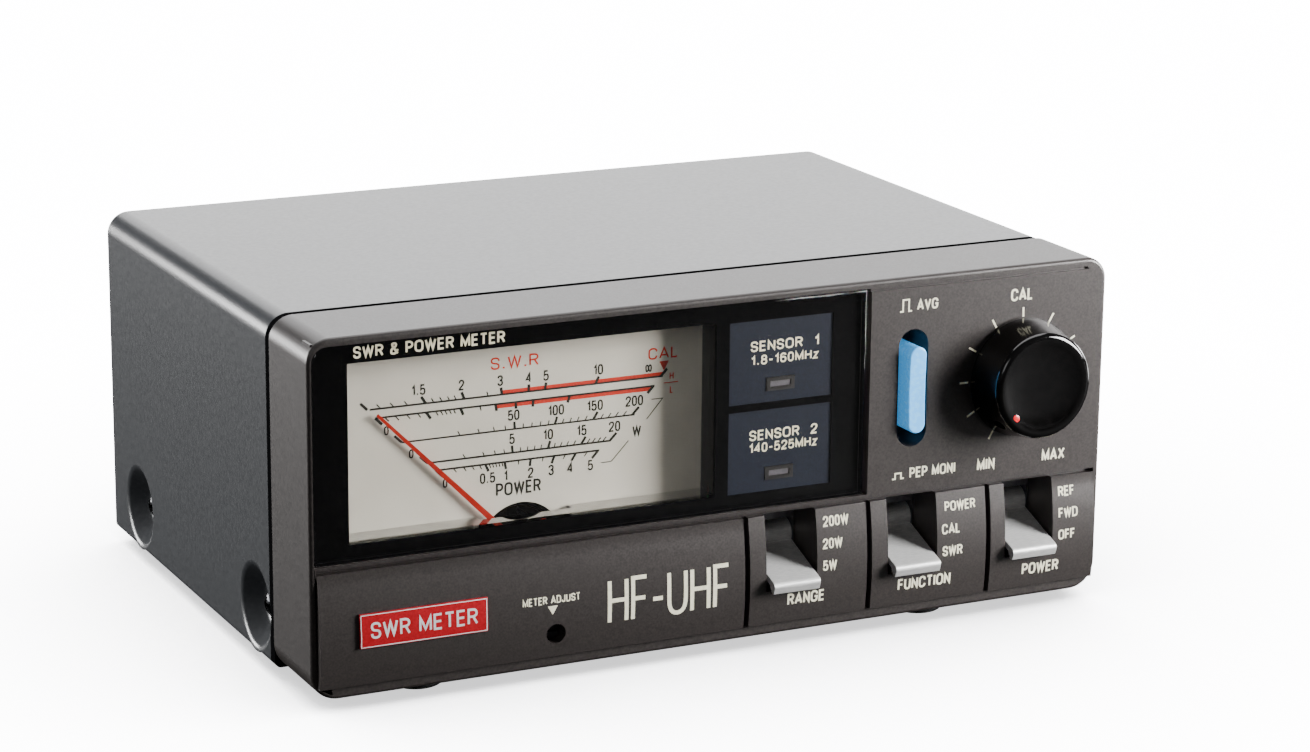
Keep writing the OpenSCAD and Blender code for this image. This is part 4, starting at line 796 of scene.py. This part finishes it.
numbers = bmesh.new()
for z, cap, words, places in ((50.1, 1.9, "1.5 2 3 4 5 10", (-54.3, -46.4, -39.2, -33.9, -30.6, -20.7)),
                              (43.7, 1.9, "50 100 150 200", (-36.7, -28.7, -21.3, -13.7)),
                              (39.5, 1.9, "5 10 15 20", (-37.0, -30.2, -23.8, -17.5)),
                              (33.0, 1.9, "0.5 1 2 3 4 5", (-41.6, -38.2, -33.5, -29.6, -26.0, -22.1)),
                              (30.6, 2.4, "POWER", (-35.8,)), (38.2, 2.0, "W", (-13.2,)),
                              (49.3, 1.7, "@", (-11.0,)), (43.6, 1.6, "0", (-60.2,)),
                              (39.0, 1.6, "0", (-55.7,)), (33.0, 1.6, "0", (-49.5,))):
    for word, x in zip(words.split(), places):
        letter(numbers, word, x, z, cap, on_dial, weight=0.19)
ridge(numbers, [(-10.4, 43.6), (-8.2, 43.6), (-11.3, 40.1)], False, 0.16, on_dial)
ridge(numbers, [(-14.8, 36.6), (-18.1, 33.2), (-20.1, 33.2)], False, 0.16, on_dial)
dial_numbers = made("dial_numbers", closed_up(numbers), scale_black)
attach(dial_numbers, "case")

reds = bmesh.new()
letter(reds, "S.W.R", -36.5, 53.2, 2.2, on_dial, width=9.0, weight=0.16)
letter(reds, "CAL", -8.2, 51.8, 2.1, on_dial, width=5.8, weight=0.16)
letter(reds, "H", -6.5, 47.5, 1.3, on_dial, weight=0.17)
letter(reds, "L", -6.5, 45.0, 1.3, on_dial, weight=0.17)
ridge(reds, [(-8.0, 46.3), (-5.2, 46.3)], False, 0.16, on_dial)
blot(reds, [(-8.9, 50.3), (-8.0, 48.6), (-7.1, 50.3)], on_dial)
# Red bands from 3 upwards along both scales, the upper one cut along its last tick.
band_end, band_tall = -8.6, 0.75
band_lean = band_tall * (band_end - axis_x) / (swr_h - axis_z)
blot(reds, [(-38.9, swr_h), (band_end, swr_h), (band_end + band_lean, swr_h + band_tall),
            (-38.9, swr_h + band_tall)], on_dial, 0.02)
blot(reds, [(-40.1, swr_l - 0.8), (-10.8, swr_l - 0.8), (-10.0, swr_l), (-40.1, swr_l)], on_dial, 0.02)
dial_reds = made("dial_red_print", closed_up(reds), scale_red)
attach(dial_reds, "case")

# ---------------------------------------------------------------- meter
# A moving-coil meter: a clear styrene box over the dial, a black moulded housing behind, and a
# red needle on a coil between jewels. The movement's frame is blackened so that it stays unseen.
def rounded(name, node, body, material, width=0.2, steps=2, over=50):
    """A piece in place of a CAD node: its own shape with eased corners."""
    bm = cad_copy(node)
    ease(bm, [e for e in bm.edges if corner(e) > over], width, steps)
    smooth(bm, 35)
    thing = made(name, bm, material)
    flat_shading(thing)
    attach(thing, body)
    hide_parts(node)
    return thing


clear_styrene = clear_finish("clear_styrene", "#f6f5f3", 0.03, 2)
meter_box = rounded("meter_box", "meter_cover", "case", clear_styrene, 0.15)
# The box's floor throws the dial back like a mirror, for its under side stands in air.
mirror_floor = clear_finish("clear_styrene_floor", "#f6f5f3", 0.02, 2, 0.72)
meter_box.data.materials.append(mirror_floor)
box_floor = mm(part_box("meter_cover")[0])[2]
for face in meter_box.data.polygons:
    if face.normal.z > 0.9 and mm(face.center)[2] < box_floor + 3:
        face.material_index = 1
meter_black = finish("black_phenolic", "#0b0b0c", "#151517", 0.8, (0.3, 0.42), 0.004)
rounded("meter_shell", "meter_housing", "case", meter_black, 0.15)
# Signal-red lacquer on aluminium, thin enough to show a few streaks along the arm.
needle_red = finish("red_needle_lacquer", "#a81a10", "#c52818", 0.4, (0.3, 0.42), 0.002, (1, 1, 0.2))
rounded("needle", "pointer", "movement", needle_red, 0.06, 2)
# Burnt black oxide: a blue-black skin, a little patchy.
black_oxide = finish("black_oxide_steel", "#0c0d10", "#191a1e", 1.2, (0.32, 0.45), metallic=0.7)
for node in ("movement_bridges", "zero_arm", "jewel_screws", "iron_yoke", "core_magnet"):
    dress(node, black_oxide)
# Windings under dark varnish lie across the coil as fine ridges.
winding = finish("varnished_windings", "#160c08", "#24130b", 0.12, (0.3, 0.45), 0.02, (1, 0.05, 1))
dress("moving_coil", winding)
# Bronze strip of the hairsprings, browned nearly black.
spring_bronze = finish("browned_bronze", "#1d150d", "#2b2014", 0.3, (0.26, 0.38), metallic=0.8)
dress("hairsprings", spring_bronze)
# Hard steel pivots, polished, with faint turning rings.
pivot_steel = finish("polished_steel", "#aeb1b5", "#c9ccd0", 0.2, (0.12, 0.22), stretch=(1, 6, 1),
                     metallic=1.0)
dress("pointer_staff", pivot_steel)
# Milky lamp glass over a warm filament colour.
lamp_glass = finish("frosted_lamp_glass", "#e6e3d4", "#f4f1e6", 0.6, (0.2, 0.35), transmission_weight=0.4)
dress("dial_lamps", lamp_glass)
rounded("zero_screw_head", "zero_screw", "zero_screw", meter_black, 0.12, 2)

# ---------------------------------------------------------------- CAL knob
# A turned-looking moulded knob with a dished face and a red paint dot, held by a grub screw on
# the steel shaft of a potentiometer. Glossy black phenolic with faint polishing swirls.
knob_gloss = finish("glossy_black_phenolic", "#030303", "#060505", 1.5, (0.09, 0.13))
knob_r, knob_face, knob_out, knob_gap, nut_room = 11.0, 9.8, 8.2, 0.5, 3.2
shaft_r, nut_clear, grub_r, grub_level = 3.0, 8.1, 1.25, 5.0
knob_mesh = lathe("knob", [(0, 6.5), (shaft_r, 6.5), (shaft_r, nut_room), (nut_clear, nut_room),
                           (nut_clear, knob_gap), (knob_r - 0.2, knob_gap)]
                  + arc(knob_r - 0.3, knob_gap + 0.3, 0.3, -60, 0, 3) + [(knob_r - 0.3, 2.2)]
                  + arc(knob_face - 1.1, knob_out - 1.1, 1.1, 4, 90, 9)
                  + [(knob_face - 2.1, knob_out - 0.16), (knob_face - 2.8, knob_out - 0.3),
                     (3.5, knob_out - 0.45), (0, knob_out - 0.5)], 128)
hole_in, hole_out = 2, 13
grub_hole = lathe("hole", [(0, hole_in), (grub_r, hole_in), (grub_r, hole_out), (0, hole_out)], 24)
bmesh.ops.rotate(grub_hole, verts=grub_hole.verts, matrix=Matrix.Rotation(-math.pi / 2, 3, "X"))
bmesh.ops.rotate(grub_hole, verts=grub_hole.verts, matrix=Matrix.Rotation(math.radians(135), 3, "Z"))
bmesh.ops.translate(grub_hole, verts=grub_hole.verts, vec=(0, 0, grub_level * MM))
knob_mesh = cut_away(knob_mesh, grub_hole)
knob_place = (at(knob_x, 0, knob_z), (math.pi / 2, 0, 0), (1, 1, 1))
knob_piece = set_in_places("cal_knob_turned", knob_mesh, [knob_place], knob_gloss, 40)
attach(knob_piece, "knob")
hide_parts("cal_knob")
# The dot is a bead of signal-red enamel that settled flat in its dimple.
dot_red = finish("red_dot_enamel", "#c3141c", "#d8222a", 0.5, (0.2, 0.3))
dot_turn, dot_from, dot_r = math.radians(-133.6), 7.9, 0.78
dot_mesh = lathe("dot", [(0, -0.3), (dot_r, -0.3), (dot_r, -0.02), (dot_r * 0.8, 0.06), (0, 0.1)], 28)
dot_at = at(knob_x + dot_from * math.sin(dot_turn), 0.14 - knob_out,
            knob_z + dot_from * math.cos(dot_turn))
dot = set_in_places("knob_dot", dot_mesh, [(dot_at, (math.pi / 2, 0, 0), (1, 1, 1))], dot_red, 50)
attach(dot, "knob")
# Nickel-plated steel and brass: bright, with fine turning or drawing marks round the axis.
bright_nickel = finish("bright_nickel_plate", "#a3a5a8", "#c2c4c7", 0.25, (0.16, 0.26), 0.002, metallic=1.0)
for node in ("pot_shaft", "pot_nut", "knob_grub_screw", "board_screws", "button_spring"):
    dress(node, bright_nickel)
# Stamped can of the potentiometer, dull zinc.
dull_zinc = finish("dull_zinc_plate", "#85868a", "#a0a1a4", 2.0, (0.35, 0.5), metallic=0.9)
dress("pot_body", dull_zinc)

# ---------------------------------------------------------------- push button
# A sky-blue moulded cap with rounded ends and a lightly dished front, in a dark slot; a white
# nylon plunger carries it into the switch behind.
# The cap is given a weak glow of its own blue: painted light that lifts its shaded side.
sky_blue = finish("sky_blue_abs", "#58a9ea", "#66b4f0", 0.9, (0.22, 0.32), coat=(0.25, 0.12),
                  emission_color=linear("#4aa5ee"), emission_strength=0.6)
rounded("button_cap_moulded", "button_cap", "button", sky_blue, 0.5, 5, 40)
# Natural nylon, waxy and a little uneven.
nylon = finish("natural_nylon", "#d9d8ce", "#e8e7de", 1.2, (0.4, 0.55), subsurface_weight=0.1)
for node in ("button_plunger", "range_slider", "function_slider", "power_slider"):
    dress(node, nylon)
dress("push_switch_body", lamp_bezel)

# ---------------------------------------------------------------- lever switches
# Three rocker levers pressed from steel with a curled front lip, satin nickel plated, on pins in
# folded steel frames; brown paper-phenolic bases carry the contacts.
satin_nickel = finish("satin_nickel_plate", "#cccccb", "#e2e1df", 0.18, (0.34, 0.46), 0.003, (0.15, 1, 1),
                      metallic=0.55)
for which in ("range", "function", "power"):
    lever = which + "_lever"
    rounded(lever + "_pressed", lever, lever, satin_nickel, 0.22, 3)
for node in ("lever_switch_frames", "lever_pivot_pins"):
    dress(node, dull_zinc)
# Paper-phenolic sheet: brown with darker fibres along it.
paper_phenolic = finish("paper_phenolic", "#5e2f19", "#86492a", 0.5, (0.35, 0.5), 0.004, (0.3, 1, 1))
dress("lever_switch_bases", paper_phenolic)

# ---------------------------------------------------------------- badge
# A thin red aluminium plate on the left block with a polished edge and silver lettering.
badge_red = finish("red_anodised_aluminium", "#b01620", "#c71f2a", 0.4, (0.28, 0.38), 0.002, metallic=0.45)
rounded("badge_plate", "badge", "case", badge_red, 0.1, 2)
badge_out = 0.5
badge_low, badge_high = (mm(p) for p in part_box("badge"))


def on_badge(x, z):
    """The front of the badge, bent with its block."""
    return bulge_r - bulge_out - math.sqrt((bulge_r + badge_out) ** 2 - (z - bulge_mid) ** 2)


# Bare polished metal shows where the colour was cut away, with hairline scratches.
cut_silver = finish("cut_silver_edge", "#d2d2d2", "#ececec", 0.15, (0.3, 0.4), stretch=(0.2, 1, 1),
                    metallic=0.3)
badge_print = bmesh.new()
edge = 0.22
x0, x1, z0, z1 = badge_low[0] + edge, badge_high[0] - edge, badge_low[2] + edge, badge_high[2] - edge
ridge(badge_print, [(x0, z0), (x1, z0), (x1, z1), (x0, z1)], True, 0.16, on_badge, 0.02)
letter(badge_print, "SWR METER", (x0 + x1) / 2, (z0 + z1) / 2, 2.9, on_badge, width=19.5, weight=0.16)
badge_letters = made("badge_lettering", closed_up(badge_print), cut_silver)
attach(badge_letters, "case")

# ---------------------------------------------------------------- chassis and boards
# A folded steel chassis with the rear panel, zinc plated and passivated; pan-head screws hold
# the moulded front on it. The boards and shielded boxes are guesses of common practice.
zinc_steel = finish("passivated_zinc_steel", "#8a8c8d", "#a3a5a5", 6, (0.34, 0.46), metallic=0.85)
rounded("chassis_folded", "chassis", "case", zinc_steel, 0.2, 2)
dress("panel_screws", bright_nickel)
# Green glass-epoxy laminate: the weave shows as a fine mottle.
glass_epoxy = finish("green_glass_epoxy", "#1f5a30", "#2f7340", 0.6, (0.3, 0.42), coat=(0.3, 0.15))
for node in ("front_board", "coupler_boards"):
    dress(node, glass_epoxy)
# Tinned steel boxes, dull with a spangle of solder dipping.
tinned_steel = finish("tinned_steel", "#a5a398", "#c2c0b4", 3, (0.28, 0.42), 0.003, metallic=0.9)
for node in ("sensor1_box", "sensor2_box", "sensor_lids"):
    dress(node, tinned_steel)
# Bare copper bar, browned where it was handled.
bare_copper = finish("bare_copper", "#9c5528", "#c98149", 2.5, (0.24, 0.4), metallic=1.0)
dress("line_conductors", bare_copper)
# Ferrite rings under a blue-grey lacquer.
ring_lacquer = finish("ring_lacquer", "#2c4660", "#41617f", 0.8, (0.3, 0.45), 0.01)
dress("current_transformers", ring_lacquer)
# Dark red PVC on the ribbon leads.
lead_pvc = finish("red_pvc", "#7a1818", "#962323", 0.8, (0.35, 0.5))
dress("internal_leads", lead_pvc)
dress("band_leds", lamp_glass)

# ---------------------------------------------------------------- rear sockets
# Four threaded coaxial sockets on square flanges: nickel-plated brass, white fluoroplastic
# inside and a gold-plated contact, each flange held by four slotted pan-head screws.
# The thread is a wire of triangular section wound up the barrel.
thread_tree = bpy.data.node_groups.new("thread_turns", "GeometryNodeTree")
given = inputs_of(thread_tree, (("Geometry", "NodeSocketGeometry"), ("Turns", "NodeSocketFloat"),
                                ("Root radius", "NodeSocketFloat"), ("Length", "NodeSocketFloat"),
                                ("Tooth", "NodeSocketFloat"), ("Finish", "NodeSocketMaterial")))
wind = add(thread_tree, "GeometryNodeCurveSpiral", None, {
    "Resolution": 40, "Rotations": given["Turns"], "Start Radius": given["Root radius"],
    "End Radius": given["Root radius"], "Height": given["Length"]})
upright = add(thread_tree, "GeometryNodeSetCurveNormal", {"mode": "Z_UP"},
              {"Curve": wind.outputs["Curve"]})
tooth = add(thread_tree, "GeometryNodeCurvePrimitiveCircle", None,
            {"Resolution": 4, "Radius": given["Tooth"]})
wire = add(thread_tree, "GeometryNodeCurveToMesh", None, {
    "Curve": upright.outputs["Curve"], "Profile Curve": tooth.outputs["Curve"], "Fill Caps": True})
real = add(thread_tree, "GeometryNodeRealizeInstances", None, {"Geometry": wire.outputs["Mesh"]})
dressed = add(thread_tree, "GeometryNodeSetMaterial", None,
              {"Geometry": real.outputs["Geometry"], "Material": given["Finish"]})
add(thread_tree, "NodeGroupOutput", None, {"Geometry": dressed.outputs["Geometry"]})

socket_low, socket_high = (mm(p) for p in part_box("coax_sockets"))
flange_w, flange_t, crest_r, core_r, bore_r, mouth_r = 25.4, 1.6, 7.94, 7.42, 5.05, 5.75
barrel_len = 13.9
socket_z = (socket_low[2] + socket_high[2]) / 2
face_y = socket_high[1] - barrel_len
neck = socket_low[1] - face_y
far = socket_high[0] - flange_w / 2
near = far - 30
sockets_x = (-far, -near, near, far)
barrel = [(bore_r, neck), (6, neck), (6, -0.5), (core_r, -0.5), (core_r, 12.9), (core_r - 0.6, barrel_len),
          (mouth_r + 0.3, barrel_len), (mouth_r, 13.6), (mouth_r, barrel_len - 9), (bore_r, barrel_len - 9)]
socket_mesh = lathe("barrel", barrel + barrel[:1], 64)
bmesh.ops.remove_doubles(socket_mesh, verts=socket_mesh.verts, dist=0.001 * MM)
bmesh.ops.recalc_face_normals(socket_mesh, faces=socket_mesh.faces)
socket_mesh = slots(socket_mesh, (math.pi / 4, -math.pi / 4), 9, 1.7, 0.9, barrel_len)
plate = bmesh.new()
sheet_verts = bmesh.ops.create_cube(plate, size=1)["verts"]
bmesh.ops.scale(plate, verts=sheet_verts, vec=(flange_w * MM, flange_w * MM, flange_t * MM))
bmesh.ops.translate(plate, verts=sheet_verts, vec=(0, 0, -flange_t / 2 * MM))
ease(plate, [e for e in plate.edges if abs(e.verts[0].co.z - e.verts[1].co.z) > 0.5 * MM], 1.2, 5)
ease(plate, [e for e in plate.edges
             if corner(e) > 60 and all(v.co.z > -0.001 * MM for v in e.verts)], 0.25, 2)
plate = cut_away(plate, lathe("bore", [(0, -3), (bore_r, -3), (bore_r, 1), (0, 1)], 64))
turns = bpy.data.meshes.new("thread_base")
turns.from_pydata([(0, 0, 0)], [], [])
thread_start, thread_len, tooth_size = 1.2, 11.2, 0.5
thread = grow("thread_wire", turns, thread_tree, {
    "Turns": 10.6, "Root radius": (crest_r - tooth_size) * MM, "Length": thread_len * MM,
    "Tooth": tooth_size * MM, "Finish": bright_nickel})
thread.data.transform(Matrix.Translation((0, 0, thread_start * MM)))
for source in (made("plate", plate, None), thread):
    socket_mesh.from_mesh(source.data)
    bpy.data.objects.remove(source)
socket_sites = [(at(x, face_y, socket_z), (-math.pi / 2, 0, 0), (1, 1, 1)) for x in sockets_x]
rear_sockets = set_in_places("threaded_sockets", socket_mesh, socket_sites, bright_nickel, 30)
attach(rear_sockets, "case")
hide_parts("coax_sockets")
# White fluoroplastic, slightly waxy, with faint turning marks.
fluoroplastic = finish("white_fluoroplastic", "#dedcd2", "#efeee8", 0.3, (0.35, 0.5), subsurface_weight=0.1)
rounded("socket_insulators", "coax_insulators", "case", fluoroplastic, 0.2, 2)
# Gold over nickel, warm and bright.
contact_gold = finish("gold_plate", "#c9973a", "#e0b252", 0.4, (0.14, 0.24), metallic=1.0)
rounded("socket_contacts", "coax_contacts", "case", contact_gold, 0.15, 2)
pan_r, pan_h, pitch = 2.6, 1.5, 18.3
pan = lathe("pan", [(0, -4), (shank_r, -4), (shank_r, 0), (pan_r, 0), (pan_r, 0.5)]
            + arc(pan_r - 0.9, pan_h - 0.9, 0.9, 15, 90, 5) + [(0, pan_h)], 32)
pan = slots(pan, (0,), 3, 0.7, 0.7, pan_h)
pan_sites = []
for i, x in enumerate(sockets_x):
    for j, (sx, sz) in enumerate(((-1, -1), (1, -1), (-1, 1), (1, 1))):
        pan_sites.append((at(x + sx * pitch / 2, face_y, socket_z + sz * pitch / 2),
                          (-math.pi / 2, 0.9 * i + 2.3 * j, 0), (1, 1, 1)))
pans = set_in_places("flange_screws", pan, pan_sites, bright_nickel)
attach(pans, "case")
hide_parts("socket_screws")
rounded("power_inlet_jack", "dc_jack", "case", lamp_bezel, 0.2, 2)
# Black screened words on the zinc rear panel, drawn at the front and turned to face back.
rear_words = bmesh.new()
rear_face = mm(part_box("chassis")[1])[1]
for text, x, z, cap in (("TX", -far, 14.4, 2.4), ("ANT", -near, 14.4, 2.4), ("ANT", near, 14.4, 2.4),
                        ("TX", far, 14.4, 2.4), ("SENSOR 2", -(far + near) / 2, 50.5, 2.6),
                        ("SENSOR 1", (far + near) / 2, 50.5, 2.6), ("DC IN", 0, 40.5, 2.4)):
    letter(rear_words, text, x, z, cap, on_plate)
half_turn = Matrix.Translation(at(0, rear_face, 0)) @ Matrix.Rotation(math.pi, 4, "Z")
half_turn = half_turn @ Matrix.Translation(-at(0, 0, 0))
bmesh.ops.transform(rear_words, matrix=half_turn, verts=rear_words.verts)
print_black = finish("black_panel_print", "#101011", "#1a1a1b", 0.6, (0.45, 0.6))
rear_legends = made("rear_legends", closed_up(rear_words), print_black)
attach(rear_legends, "case")
